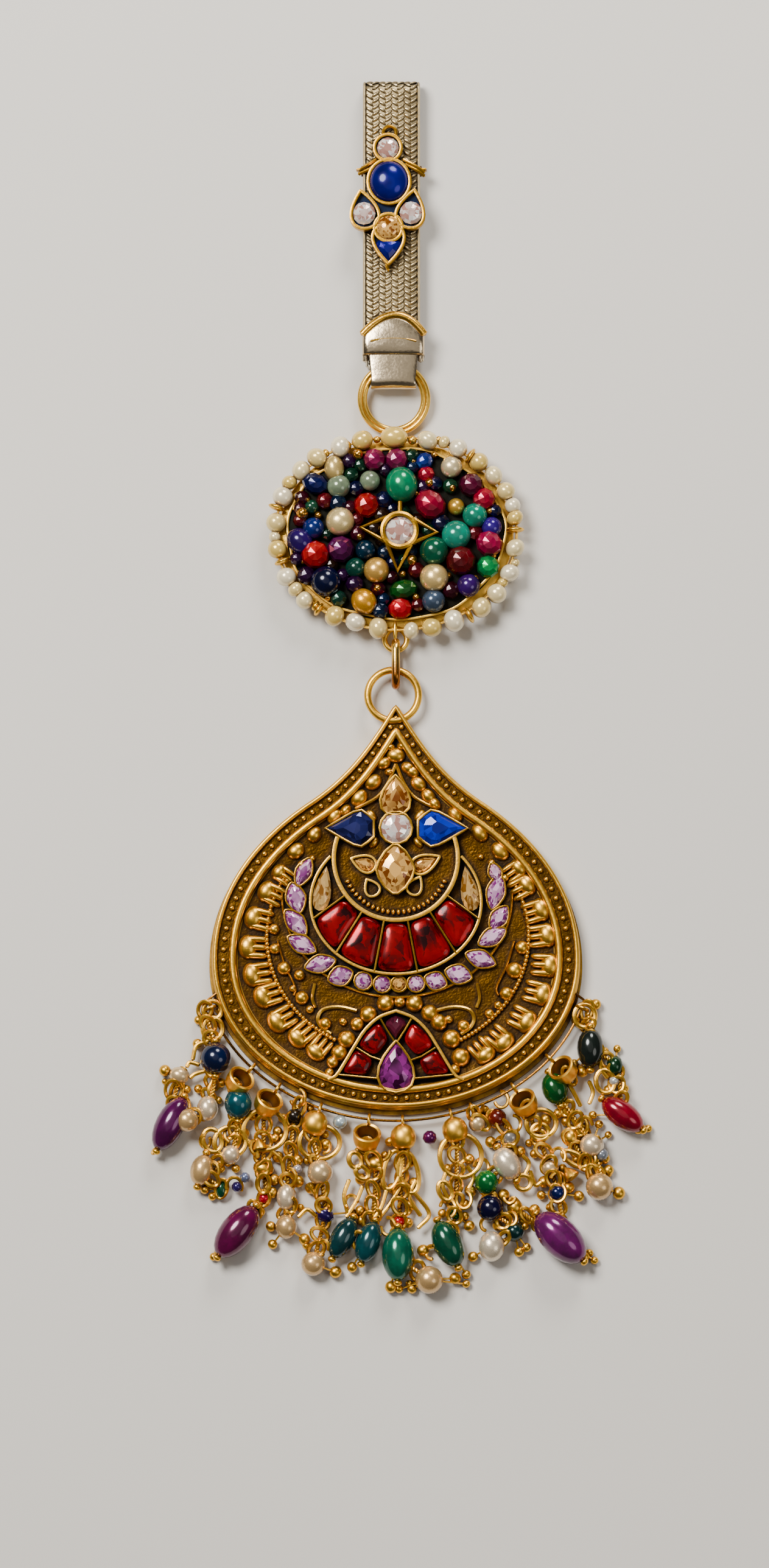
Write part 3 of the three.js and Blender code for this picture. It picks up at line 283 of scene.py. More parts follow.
# Painted shade: the top strands go dark towards their lower edges, and the strands and backing beneath take a
# darker copy of the same metal.
weave_metal = metal_finish("woven_grey_gold", "#D2BC90", "#120A04", 3.2, 3.7, 0.3, 0.2)
weave_back = metal_finish("woven_back_grey_gold", "#B9A67E", "#2A1E12", -0.4, 1.2, 0.4, 0.3)
strap_long = STRAP["fold_y"] - STRAP["end"] + np.pi * STRAP["radius"] + STRAP["tail"]
strap_path, _, strap_out = strap_line(np.linspace(0, strap_long, 120))
strap_edges = [
    sweep(strap_path + [x, 0, 0], EDGE["half_wide"], EDGE["half_high"], up=strap_out)
    for x in (-EDGE["x"], EDGE["x"])
]
backing = sweep(strap_path, BACKING["half_wide"], BACKING["half_high"], 16, up=strap_out)
add_piece(
    "woven_strap",
    [
        (weave_metal, [woven(WEAVE["lift"], strap_long), *strap_edges]),
        (weave_back, [woven(-WEAVE["lift"], strap_long), backing]),
    ],
    ["mesh_strap"],
)

# Pin: one length of round silver-coloured wire, bent to two prongs that go through the hair.
# The bend lies inside the fold of the strap and the prongs run straight down under it.
PIN = {"half": 3.5, "tip": 96.0, "middle": 111.0, "rise_from": 126.0, "rise_to": 136.0, "bar": 141.4}
PIN_LIE, PIN_RADIUS = 0.95, 0.75
silver = metal_finish("soft_silver", "#D8CDB6", "#5A4A36", -1.0, 1.0, 0.24, 0.6)


def smooth(points, count, loop=False):
    """A line through points: each span is a cubic, headed at each end along the line past that point."""
    p = np.asarray(points, float)
    p = np.concatenate([p[-1:], p, p[:2]] if loop else [2 * p[:1] - p[1:2], p, 2 * p[-1:] - p[-2:-1]])
    spans = len(p) - 3
    t = np.linspace(0, spans, count, endpoint=not loop)
    k = np.minimum(t.astype(int), spans - 1)
    f = (t - k)[:, None]
    a, b, c, d = p[k], p[k + 1], p[k + 2], p[k + 3]
    return 0.5 * (2 * b + (c - a) * f + (2 * a - 5 * b + 4 * c - d) * f**2 + (3 * b - a - 3 * c + d) * f**3)


bend = np.radians([150, 120, 90, 60, 30])
bend_y = PIN["bar"] - PIN["half"] + PIN["half"] * np.sin(bend)
pin_bend = np.stack([PIN["half"] * np.cos(bend), bend_y, 0 * bend + STRAP["fold_z"]], -1)
prong = np.array([
    [PIN["half"], PIN["tip"], PIN_LIE],
    [PIN["half"], PIN["middle"], PIN_LIE],
    [PIN["half"], PIN["rise_from"], PIN_LIE],
    [PIN["half"], PIN["rise_to"], STRAP["fold_z"]],
])
pin_line = np.concatenate([prong * [-1, 1, 1], pin_bend, prong[::-1]]) + [STRAP["x"], 0, 0]
pin_wire = sweep(smooth(pin_line, 140), PIN_RADIUS, sides=12)
add_piece("two_prong_pin", [(silver, [pin_wire])], ["bun_pin"])

# Clip: a silver-coloured collar pressed over the end of the strap, with a gold arch along its top edge.
# A tongue of the same sheet is folded round the big ring and curls under it.
CLIP = {"x": -0.4, "half": 5.1, "shoulder": 100.8, "foot": 97.4, "peak": 107.2, "lean": 0.6}
COLLAR = [(1, 1.7), (1, 4.3), (0.975, 4.75), (0.92, 5.0), (0.8, 5.15), (0.4, 5.3)]
TONGUE = {"y": 93.4, "z": 3.2, "front": 5.6, "back": 5.0, "half": 4.15, "taper": 0.55, "thick": 0.2}
BEND_FROM, BEND_TO = 0.36, 0.66
BEND = {"half_y": 1.25, "half_z": 1.3, "swell": 0.12, "bow": 0.25, "cup": 0.1}
CREASE = {"half": 3.7, "y": 99.6, "bow": 0.5, "z": 5.1}
clip_gold = metal_finish("clip_gold", "#F3B945", "#4A2808", 4.2, 5.0, 0.25, 0.4)
# The clip's silver is mottled dark and bright by strong noise on its height: partly wear, partly painted
# reflection bands of a polished surface.
clip_silver = metal_finish("clip_silver", "#E4CFAC", "#4A2E16", 1.5, 5.0, 0.22, 1.6, 0.05)
arch_step = np.linspace(0, 1, 25)[:, None]
right_foot, left_foot = np.array([[CLIP["half"], CLIP["shoulder"]], [-CLIP["half"], CLIP["shoulder"]]])
peak = np.array([CLIP["lean"], CLIP["peak"]])
arch = (1 - arch_step) ** 2 * right_foot + 2 * arch_step * (1 - arch_step) * peak + arch_step**2 * left_foot
foot_x = np.linspace(-CLIP["half"], CLIP["half"], 13)
foot_edge = np.stack([foot_x, 0 * foot_x + CLIP["foot"]], -1)
collar = np.concatenate([foot_edge, arch])


def stack(outline, levels, centre=(0, 0)):
    """A solid through shares of one outline, drawn about its centre, each share at its own height."""
    share, height = np.array(levels, float).T
    flat = np.array(centre) + (outline - centre) * share[:, None, None]
    lift = np.broadcast_to(height[:, None, None], (*flat.shape[:2], 1))
    return skin(np.concatenate([flat, lift], -1))


def leaf(path, out, half_wide, half_thick, bow):
    """A bent sheet: a flat oval section across X carried along a path, its edges lifted along out by bow."""
    around = full_turn(28)
    flat = np.sign(np.cos(around)) * np.abs(np.cos(around)) ** 0.6
    rise = half_thick * np.sin(around) + bow[:, None] * flat**2
    rings = path[:, None] + rise[..., None] * out[:, None]
    rings[..., 0] -= half_wide[:, None] * flat
    return skin(rings)


def raised(points, height):
    """Flat points lifted to a height."""
    points = np.asarray(points, float)
    return np.concatenate([points, np.broadcast_to(height, (len(points), 1))], -1)


def moved(surface, by):
    """A surface shifted by a vector."""
    return surface[0] + by, surface[1]


to_clip = np.array([CLIP["x"], 0, 0])
along_tongue = np.linspace(0, 1, 41)
bent = np.pi * np.clip((along_tongue - BEND_FROM) / (BEND_TO - BEND_FROM), 0, 1)
before_bend = np.clip((BEND_FROM - along_tongue) / BEND_FROM, 0, 1)
after_bend = np.clip((along_tongue - BEND_TO) / (1 - BEND_TO), 0, 1)
tongue_y = TONGUE["y"] + before_bend * TONGUE["front"] - BEND["half_y"] * np.sin(bent)
tongue_y += after_bend * TONGUE["back"]
tongue = np.stack([0 * bent, tongue_y, TONGUE["z"] + BEND["half_z"] * np.cos(bent)], -1)
tongue_out = np.stack([0 * bent, -np.sin(bent), np.cos(bent)], -1)
tongue_wide = TONGUE["half"] - TONGUE["taper"] * (1 - before_bend) + BEND["swell"] * np.sin(bent)
tongue_bow = BEND["bow"] * np.sin(bent) - BEND["cup"]
tongue_shape = leaf(tongue, tongue_out, tongue_wide, TONGUE["thick"], tongue_bow)
arch_line = raised(arch, 4.95) + to_clip
crease_x = np.linspace(-CREASE["half"], CREASE["half"], 25)
crease_y = CREASE["y"] + CREASE["bow"] * (1 - (crease_x / CREASE["half"]) ** 2)
crease_line = np.stack([crease_x, crease_y, 0 * crease_x + CREASE["z"]], -1) + to_clip
ears = [sweep([[x, 99.3, 3.4], [x, 98, 3.6], [x, 96.6, 3.3]], 0.5, 0.75) for x in (-5.0, 4.1)]
collar_shape = stack(collar, COLLAR, (0, 100))
add_piece(
    "pressed_clip",
    [
        (clip_silver, [moved(collar_shape, to_clip), moved(tongue_shape, to_clip), *ears]),
        (clip_gold, [sweep(arch_line, 0.6, 0.5, 12), sweep(crease_line, 0.22, 0.22, 8)]),
    ],
    ["strap_clip"],
    55,
)

# Stone setting on the strap: thin gold walls soldered on edge round each stone, over a dark blue floor.
# A band behind goes round the strap, and its ends show as two slanting bars beside the blue stone.
SETTING = np.array([-1.2, 121.0])
SETTING_LOW, SETTING_FLOOR, SETTING_HIGH = 3.9, 4.6, 5.75
SQUARE, PEAR_FULL = 0.25, 1.299


def oval(half_x, half_y, count=40):
    """An ellipse, counter-clockwise."""
    t = full_turn(count)
    return np.stack([half_x * np.cos(t), half_y * np.sin(t)], -1)


def pear(wide, long, count=40):
    """A drop with its point up: sin t times sin t/2 across, brought to its full width, and cos t along."""
    t = full_turn(count)
    return np.stack([-PEAR_FULL * wide / 2 * np.sin(t) * np.sin(t / 2), long / 2 * np.cos(t)], -1)


def lozenge(wide, long, count=40):
    """A diamond with soft sides: cosine and sine to a power of 1.35."""
    t = full_turn(count)
    both = np.stack([np.cos(t), np.sin(t)], -1)
    return np.sign(both) * np.abs(both) ** 1.35 * [wide / 2, long / 2]


def turned(outline, degrees, centre=(0, 0)):
    """An outline turned about its own middle and moved to its place."""
    c, s = np.cos(np.radians(degrees)), np.sin(np.radians(degrees))
    return outline @ np.array([[c, s], [-s, c]]) + centre


def wall(outline, low, high, half_wide=0.2):
    """A thin wall on edge along a closed outline."""
    return sweep(raised(outline, (low + high) / 2), half_wide, (high - low) / 2, 8, loop=True, power=SQUARE)


def inset(outline, by):
    """An outline drawn in towards its middle by a length."""
    middle = outline.mean(0)
    reach = np.linalg.norm(outline - middle, axis=1, keepdims=True)
    return middle + (outline - middle) * (1 - by / reach)


def clouded_finish(name, scale, deep, pale, rough, spread, gloss=0.5, dent=0.0):
    """Two colours, a roughness and a dented surface, all broken up by one noise."""
    material, flow = new_finish(name)
    cloud = flow.noise(flow.place(), scale)
    values = {
        "Base Color": flow.blend(cloud + 0.5, ink(deep), ink(pale)),
        "Roughness": rough + cloud * spread,
        "Specular IOR Level": gloss,
    }
    if dent:
        values["Normal"] = flow.bump(cloud, MM * dent)
    coated(flow, values)
    return material


setting_gold = metal_finish("setting_gold", "#E0A62A", "#4A2A08", 3.7, 4.6, 0.34, 0.4)
enamel = clouded_finish("navy_enamel", 600.0, "#060A1E", "#142A52", 0.25, 0.2, 0.2, 0.05)
SEATS = [
    turned(oval(2.2, 2.2), 0, SETTING + [-0.1, 10.7]),
    turned(oval(3.45, 3.7), 0, SETTING + [0.1, 5.1]),
    turned(pear(4.6, 6.4), 10, SETTING + [-4.0, 0.4]),
    turned(pear(4.6, 6.4), -10, SETTING + [3.7, 0.5]),
    turned(oval(2.3, 2.3), 0, SETTING + [0, -2.6]),
    turned(pear(5.2, 6.6), 180, SETTING + [0, -5.3]),
]
setting_walls = [wall(seat, SETTING_LOW, SETTING_HIGH, 0.27) for seat in SEATS]
floor_levels = [(0.98, SETTING_LOW), (0.98, SETTING_FLOOR)]
setting_floors = [stack(seat, floor_levels, seat.mean(0)) for seat in SEATS]
middle_floor = np.array([[-2.4, -1.8], [2.4, -1.8], [2.4, 2.6], [-2.4, 2.6]]) + SETTING
setting_floors.append(stack(middle_floor, [(1, SETTING_LOW), (1, SETTING_FLOOR)], SETTING))
spike = raised(smooth(SETTING + [[-0.1, -8.2], [-0.2, -8.9], [0.0, -9.7]], 9), 4.6)
bars = [
    [(-6.0, 128.2, 3.9), (-4.6, 129.0, 4.5), (-3.2, 129.9, 4.5)],
    [(-6.1, 127.6, 3.8), (-4.4, 128.3, 4.3), (-3.6, 128.9, 4.3)],
    [(1.2, 129.9, 4.5), (2.9, 129.0, 4.5), (4.7, 127.9, 3.9)],
    [(1.6, 129.2, 4.3), (3.2, 128.3, 4.3), (4.7, 127.3, 3.8)],
]
SPIKE_HALF = [0.4, 0.42, 0.42, 0.4, 0.38, 0.34, 0.3, 0.24, 0.16]
BAND = {"half": 4.95, "y": 128.3, "z": 2.55}
band_line = raised(np.array([[-BAND["half"], 0], [BAND["half"], 0]]) + [STRAP["x"], BAND["y"]], BAND["z"])
cheeks = [
    sweep([(x, 128.4, 4.2), (x, BAND["y"], 3.3), (x, BAND["y"], 2.5)], 0.18, 0.9, 8, up=(1, 0, 0))
    for x in (-5.6, 4.2)
]
top_eyelet = raised(oval(1.05, 1.05, 24) + SETTING + [0.2, 13.4], 4.4)
add_piece(
    "setting_walls",
    [
        (setting_gold, [
            *setting_walls,
            sweep(top_eyelet, 0.3, 0.45, 8, loop=True),
            sweep(spike, SPIKE_HALF, 0.5, 8),
            *[sweep(smooth(bar, 9), 0.3, 0.3, 8) for bar in bars],
            sweep(smooth(band_line, 3), 0.9, 0.15, 8),
            *cheeks,
        ]),
        (enamel, setting_floors),
    ],
    ["setting_frame"],
)


def cabochon(outline, low, girdle, high):
    """A polished stone: shares of its outline fall as a cosine while the height rises as a sine."""
    angle = np.linspace(0, 0.47 * np.pi, 9)
    dome = [(np.cos(a), girdle + (high - girdle) * np.sin(a)) for a in angle]
    return stack(outline, [(0.94, low), *dome], outline.mean(0))


def cut_stone(outline, low, girdle, high, table=0.36):
    """A cut stone: three-cornered facets between the girdle, a ring turned by half a step, and the table."""
    middle = outline.mean(0)
    step = np.roll(outline, 1, 0)
    half_step = (outline + step) / 2
    shoulder = girdle + 0.62 * (high - girdle)
    levels = [(outline, 0.9, low), (outline, 1, girdle), (half_step, 0.76, shoulder), (step, table, high)]
    rings = [raised(middle + (ring - middle) * share, z) for ring, share, z in levels]
    points, faces = skin(np.stack(rings))
    whole = faces[:, 2] != faces[:, 3]
    quads = faces[whole]
    return points, np.concatenate([quads[:, [0, 1, 2, 2]], quads[:, [0, 2, 3, 3]], faces[~whole]])


def gem_finish(name, deep, bright, spark=0.5, rough=0.07, coat=0.7):
    """A foiled stone: each facet's colour gets its own painted reflection, lighter or darker, picked by the
    way that it faces.
    """
    material, flow = new_finish(name)
    place = flow.place()
    # Painted reflections: each facet's true normal picks a noise cell, and that cell's brightness goes into
    # the colour.
    facing = flow.node("ShaderNodeNewGeometry", {}, {}, "True Normal")
    spread_out = {0: place, 1: (60.0, 60.0, 60.0), 2: facing}
    facet = flow.node("ShaderNodeVectorMath", {"operation": "MULTIPLY_ADD"}, spread_out)
    cells = flow.node("ShaderNodeTexVoronoi", {}, {"Vector": facet, "Scale": 7.0}, "Color")
    patch = flow.node("ShaderNodeSeparateColor", {}, {0: cells}, 0)
    cloud = flow.noise(place, 240.0)
    glow = (0.5 + (patch - 0.5) * 2 * spark + cloud * 1.3).between(0.05, 0.95)
    coated(flow, {
        "Base Color": flow.blend(glow, ink(deep), ink(bright)),
        "Metallic": 0.15 + 0.3 * glow,
        "Roughness": rough + cloud * 0.06,
        "Specular IOR Level": 0.2,
        "Coat Weight": 0.7 * coat,
        "Coat Roughness": 0.03,
    })
    return material


royal_blue = gem_finish("royal_blue_stone", "#03022E", "#140F80", 0.0, 0.2, 0.3)
clear_rose = gem_finish("clear_rose_stone", "#A87C70", "#FFFAF6", 1.0)
honey = gem_finish("honey_stone", "#6A3606", "#F6BC62", 0.6)
FACETS = 12
tip_outline = turned(pear(4.2, 4.2, FACETS), 180)
CRYSTAL, SAPPHIRE, CHAMPAGNE = (clear_rose, "crystal"), (royal_blue, "sapphire"), (honey, "champagne")
# Piece and node, cut, outline, place in the setting, girdle and top, finish and slot.
SETTING_STONES = [
    ("top_crystal", "top_crystal", cut_stone, oval(1.8, 1.8, FACETS), (-0.1, 10.7), 5.2, 5.9, CRYSTAL),
    ("blue_cabochon", "blue_stone", cabochon, oval(3.2, 3.45), (0.1, 5.1), 5.2, 7.2, SAPPHIRE),
    ("left_crystal", "left_crystal", cut_stone, oval(1.9, 1.9, FACETS), (-4.0, -0.2), 5.2, 6, CRYSTAL),
    ("right_crystal", "right_crystal", cut_stone, oval(1.9, 1.9, FACETS), (3.7, -0.1), 5.2, 6, CRYSTAL),
    ("honey_cabochon", "gold_stone", cabochon, oval(2.05, 2.05), (0, -2.6), 5.3, 6.4, CHAMPAGNE),
    ("tip_stone", "tip_stone", cut_stone, tip_outline, (0, -6.2), 5.2, 5.9, SAPPHIRE),
]
SHARP, SMOOTH = 1, 60


def add_stone(name, node, shape, finish, crease=SHARP):
    """One stone in its finish; a cut one has sharp edges at every facet."""
    material, slot = finish
    add_piece(name, [(material, [shape])], [node], crease)


for name, node, cut, outline, at, girdle, high, finish in SETTING_STONES:
    shape = cut(outline + (SETTING + at), SETTING_FLOOR, girdle, high)
    add_stone(name, f"setting_{node}", shape, finish, SHARP if cut is cut_stone else SMOOTH)

# Oval back plate of the bead cluster, cut from gold sheet, with a thin wire frame on it.
# The big double ring is soldered to its top edge, and a small eyelet at the foot takes the link.
CLUSTER = np.array([0.0, 68.0])
PLATE = {"half_x": 19.3, "half_y": 15.6}
RING = {"x": -0.3, "y": 90.5, "radius": 5.2, "low": 1.2, "high": 3.3}
bright_gold = metal_finish("bright_gold", "#FFCC54", "#7A460E", -0.6, 1.4, 0.32, 0.8)
back_plate = stack(
    oval(PLATE["half_x"], PLATE["half_y"], 96) + CLUSTER,
    [(0.98, 0), (0.995, 0.25), (1, 0.6), (1, 1.9), (0.992, 2.2), (0.975, 2.3), (0.5, 2.3)],
    CLUSTER,
)


def tilted_ring(radius, half_wide, count=72):
    """A ring whose foot lies lower than its top: its height goes with the sine round it."""
    t = full_turn(count)
    lift = (RING["low"] + RING["high"]) / 2 + (RING["high"] - RING["low"]) / 2 * np.sin(t)
    place = np.stack([RING["x"] + radius * np.cos(t), RING["y"] + radius * np.sin(t), lift], -1)
    return sweep(place, half_wide, sides=12, loop=True)


frame_turn = full_turn(160)
frame_wave = 1 + 0.012 * np.sin(5 * frame_turn + 1) + 0.008 * np.sin(11 * frame_turn)
frame_line = oval(17.8, 14.1, 160) * frame_wave[:, None] + CLUSTER
bridge = np.array([[-1.7, 14.6], [1.1, 14.6], [1.1, 17.4], [-1.7, 17.4]]) + CLUSTER
foot_eyelet = raised(oval(1.8, 1.8, 36) + CLUSTER + [0, -17.3], 2.15)
add_piece(
    "oval_plate",
    [(bright_gold, [
        back_plate,
        stack(bridge, [(1, 0.5), (1, 1.9)], CLUSTER + [-0.3, 16]),
        tilted_ring(RING["radius"] + 0.34, 0.46),
        tilted_ring(RING["radius"] - 0.34, 0.46),
        wall(frame_line, 2.2, 3.4, 0.2),
        sweep(foot_eyelet, 0.45, loop=True),
    ])],
    ["oval_frame"],
)

# Pearl string round the oval: ivory seed pearls of uneven size, with thin gold discs between them.
# They are threaded on one wire that runs above the edge of the plate.
STRING_Z = 3.75
STRING_HALF_X, STRING_HALF_Y = 19.9, 16
# Place and width.
PEARLS = [
    (5.2, 83.4, 3.2), (7.9, 83.1, 2.0), (10.2, 82.1, 2.9), (13.6, 79.8, 2.9), (16.0, 77.6, 3.0),
    (18.0, 75.0, 2.8), (19.1, 72.6, 2.4), (19.5, 70.6, 2.6), (19.5, 65.6, 3.0), (19.5, 63.1, 1.5),
    (18.6, 61.5, 3.0), (17.5, 59.9, 1.6), (16.5, 58.1, 3.0), (14.0, 55.8, 3.2), (9.5, 53.6, 3.4),
    (5.9, 52.5, 3.1), (2.5, 52.0, 2.6), (-2.9, 52.4, 3.3), (-6.6, 53.4, 3.1), (-10.0, 54.4, 3.2),
    (-14.9, 57.0, 2.7), (-16.4, 58.8, 2.4), (-17.9, 60.8, 3.0), (-19.4, 65.4, 2.9), (-19.8, 67.4, 1.9),
    (-19.6, 69.8, 3.0), (-18.5, 74.1, 3.1), (-17.4, 76.4, 2.4), (-15.5, 78.4, 3.1), (-12.9, 80.5, 3.2),
    (-9.1, 82.3, 3.3), (-5.5, 83.4, 3.3),
]
DISCS = [
    (12.2, 80.8, 2.8), (19.5, 68.6, 3.0), (12.0, 54.5, 2.8), (-12.6, 55.5, 2.4), (-13.1, 56.1, 1.8),
    (-18.5, 63.4, 2.8), (-19.5, 72.3, 2.8), (-11.4, 81.3, 1.4), (-7.8, 82.6, 1.6), (7.0, 83.5, 1.2),
]


def pearl_skin(name, value, shine):
    """Nacre: a clouded colour of its own, with painted shade turning it brown where the pearl is shut in, and
    a share of mirror.
    """
    material, flow = new_finish(name)
    place = flow.place()
    cloud, grain = flow.noise(place, 260.0), flow.noise(place, 2200.0)
    facing = flow.node("ShaderNodeLayerWeight", {}, {"Blend": 0.35}, "Facing")
    ivory_tint = flow.node("ShaderNodeAttribute", {"attribute_name": "tint"}, {}, 0)
    tint = flow.node("ShaderNodeHueSaturation", {}, {"Color": ivory_tint, "Saturation": 1.5, "Value": value})
    # Painted shade: ambient occlusion mixes in a dark brown where the pearl touches its neighbours.
    occlusion_shade = flow.node("ShaderNodeAmbientOcclusion", {"samples": 8}, {"Distance": 1.6 * MM}, "AO")
    shaded_tint = flow.blend(0.8, tint, ink("#5A3414"))
    coated(flow, {
        "Base Color": flow.blend((occlusion_shade + cloud * 0.9).between(0.25, 0.95), shaded_tint, tint),
        "Metallic": shine,
        "Roughness": 0.16 + 0.2 * shine + grain * 0.1,
        "Coat Weight": 0.7 + 0.3 * facing,
        "Coat Roughness": 0.06,
        "Normal": flow.bump(grain + cloud * 2, 0.03 * MM),
    })
    return material


string_nacre = pearl_skin("ivory_pearl", 0.95, 0.25)
warm_nacre = pearl_skin("warm_pearl", 0.9, 0.62)


def set_down(shape, rows):
    """A shape set down flat, once for each row.
    A row holds x, y, z, width, length, height and the turn from +Y in degrees."""
    x, y, z, wide, long, high, turn = np.array(rows, float).T
    c, s, none = np.cos(np.radians(turn)), np.sin(np.radians(turn)), 0 * turn
    axes = [(c * wide, s * wide, none), (-s * long, c * long, none), (none, none, high)]
    frames = np.stack([np.stack(axis, -1) for axis in axes], 1) / 2
    return repeated(shape, np.stack([x, y, z], -1), frames)


def tinted(surface, codes):
    """A surface of like shapes with one colour for each of them."""
    colours = np.array([ink(code) for code in codes])
    return (*surface, np.repeat(colours, len(surface[0]) // len(codes), 0))


def round_string(x, y):
    """How far the string's direction is turned at a place on the oval."""
    return np.degrees(np.arctan2((y - CLUSTER[1]) / STRING_HALF_Y**2, x / STRING_HALF_X**2))


smooth_ball = ball(11, 20)
small_ball = ball(6, 10)
pearl_rows = [
    (x, y, STRING_Z, d * 1.1, d * (1.04 + 0.07 * np.sin(7 * x)), min(1.08 * d, 3.4), 30 * x)
    for x, y, d in PEARLS
]
IVORY = ["#F4E6C4", "#ECDAB0", "#F8EED6", "#E2CC9C"]
pearls = tinted(set_down(smooth_ball, pearl_rows), [IVORY[i % 4] for i in range(len(PEARLS))])
barrel = tinted(set_down(smooth_ball, [(-0.3, 83.9, 3.9, 4.6, 3.6, 3.6, 0)]), ["#EAD2A0"])
disc_rows = [(x, y, STRING_Z, d, 1.0, 1.05 * d, round_string(x, y)) for x, y, d in DISCS]
string_grains = [(-3.1, 83.5, STRING_Z, 1.2, 1.2, 1.4, 0), (2.7, 83.4, STRING_Z, 1.5, 1.5, 1.6, 0)]
string_wire = raised(oval(19.75, 15.9, 120) + CLUSTER, STRING_Z)
bar_row = [(-0.1, 52.0, 3.6, 0.8, 3.0, 0.8, 0)]
add_piece(
    "pearl_string",
    [
        (string_nacre, [pearls, barrel]),
        (bright_gold, [
            set_down(smooth_ball, disc_rows),
            set_down(smooth_ball, string_grains),
            set_down(smooth_ball, bar_row),
            sweep(string_wire, 0.22, sides=6, loop=True),
        ]),
    ],
    ["pearl_rim"],
)

# Field of mixed beads inside the oval: glass, polished stone, faceted stone and baroque pearls.
# They are sewn close together on a dark pad, with small gold grains between them.
PAD_HIGH = 2.9
SPREAD_X, SPREAD_Y, SWELL, STAND = 1.06, 1.05, 1.2, 0.35
STAR_ROOM = (0.6, 0.3, 5.6)
FILL = {"half_x": 16.3, "half_y": 12.7, "least": 1.9, "most": 2.9, "near": 0.4, "count": 46}
# Place from the middle of the oval, width, length and colour.
PEARL_BEADS = [
    (-9.5, 10.2, 3.8, 2.8, "#DCC8A0"), (8.6, 10.4, 3.0, 3.0, "#F0E2C4"), (9.3, 4.2, 2.4, 2.4, "#C8AC80"),
    (-8.6, 1.8, 4.0, 4.0, "#F0DEB8"), (-3.0, -5.8, 3.6, 3.6, "#DEBE94"), (5.9, -7.0, 4.0, 4.0, "#EED8B0"),
    (-4.9, -10.7, 3.8, 3.4, "#DDB488"),
]
ROUND_BEADS = [
    (-8.8, 7.4, 3.2, 3.2, "#8FA283"), (-4.0, 8.3, 2.8, 2.8, "#93A687"), (0.9, 7.6, 4.4, 5.0, "#0F8A5C"),
    (12.2, 2.8, 3.4, 3.4, "#1F9A7C"), (-12.7, 0.8, 3.0, 3.0, "#14286E"), (-14.8, -1.2, 3.4, 3.8, "#2E1560"),
    (9.3, -0.3, 4.0, 4.0, "#2FA287"), (14.8, 1.0, 2.8, 2.8, "#3B1A8C"), (-4.7, -2.6, 2.8, 2.8, "#0C2C40"),
    (5.9, -2.8, 4.0, 4.0, "#0B5C40"), (-10.8, -7.6, 4.2, 4.2, "#0A1034"), (-6.2, -5.4, 2.8, 2.8, "#0C4638"),
    (5.8, -10.6, 3.2, 3.2, "#4A5A70"), (-13.0, 4.2, 2.0, 2.0, "#1C4A34"), (11.2, -8.2, 3.2, 3.2, "#3D1B66"),
]
CUT_BEADS = [
    (-3.3, 11.6, 3.2, 3.2, "#8C0F4E"), (0.1, 11.6, 3.2, 3.2, "#8A1250"), (4.4, 11.4, 2.6, 2.4, "#12308E"),
    (4.7, 9.3, 2.4, 2.4, "#B00E30"), (-12.4, 7.8, 3.0, 3.8, "#0B1450"), (8.4, 7.5, 2.2, 2.2, "#1A4A30"),
    (11.6, 7.6, 3.4, 3.4, "#581430"), (13.6, 5.4, 3.2, 3.2, "#A80E32"), (-4.5, 4.4, 3.6, 3.6, "#B30A16"),
    (5.3, 4.5, 4.0, 4.6, "#A00C34"), (14.4, -1.6, 3.8, 3.6, "#A81048"), (-12.4, -3.4, 4.0, 4.0, "#C00A14"),
    (-8.5, -2.5, 3.8, 3.8, "#5C1050"), (10.0, -4.3, 4.2, 4.2, "#6A0E16"), (14.2, -5.2, 3.2, 3.2, "#0E9A50"),
    (1.2, -8.8, 4.0, 2.8, "#1C5E22"), (0.7, -11.8, 3.4, 3.0, "#C80A22"), (-8.8, -10.2, 2.4, 2.4, "#123A2C"),
]
FIELD_GRAINS = [
    (-6.2, 13.0, 1.5), (6.3, 13.0, 0.9), (5.5, 8.3, 1.3), (9.2, 7.5, 1.2), (-15.3, 3.2, 1.7),
    (-12.7, 3.0, 1.0), (15.4, 3.7, 1.0), (-6.0, -0.5, 1.3), (2.6, -4.5, 1.5), (1.1, -6.7, 1.0),
    (8.6, -6.9, 0.9), (-7.2, -8.2, 1.2), (-3.0, -9.1, 1.3), (9.0, -9.0, 1.3), (3.3, -10.5, 1.0),
    (-6.6, 7.3, 0.9), (3.4, 6.6, 0.8), (-14.5, 5.6, 0.9), (-11.0, -10.6, 0.9), (15.9, -3.6, 0.9),
    (13.0, -7.4, 0.9), (-15.2, -4.6, 0.8), (6.9, 8.4, 0.9), (2.9, 12.0, 0.9),
]


def bead_finish(name, rough, glow, foil):
    """Polished glass or stone in its own colour, clouded inside, under a clear gloss."""
    material, flow = new_finish(name)
    place = flow.place()
    cloud, grain = flow.noise(place, 380.0), flow.noise(place, 1500.0)
    tint = flow.node("ShaderNodeAttribute", {"attribute_name": "tint"}, {}, 0)
    pale = flow.node("ShaderNodeHueSaturation", {}, {"Color": tint, "Saturation": 1.1, "Value": glow})
    deep = flow.blend(0.55, tint, ink("#020204"))
    coated(flow, {
        "Base Color": flow.blend((cloud + grain * 0.3).between(-0.25, 0.3), deep, pale),
        "Metallic": foil,
        "Roughness": rough + 0.3 * foil + grain * 0.05,
        "Coat Weight": 0.5,
        "Coat Roughness": 0.03,
        "Specular IOR Level": 0.35,
    })
    return material


polished_bead = bead_finish("polished_bead", 0.1, 0.95, 0.3)
cut_bead = bead_finish("cut_bead", 0.06, 1.1, 0.5)
pad_finish = clouded_finish("dark_pad", 900.0, "#050604", "#1C1A10", 0.7, 0.3, 0.1, 0.2)


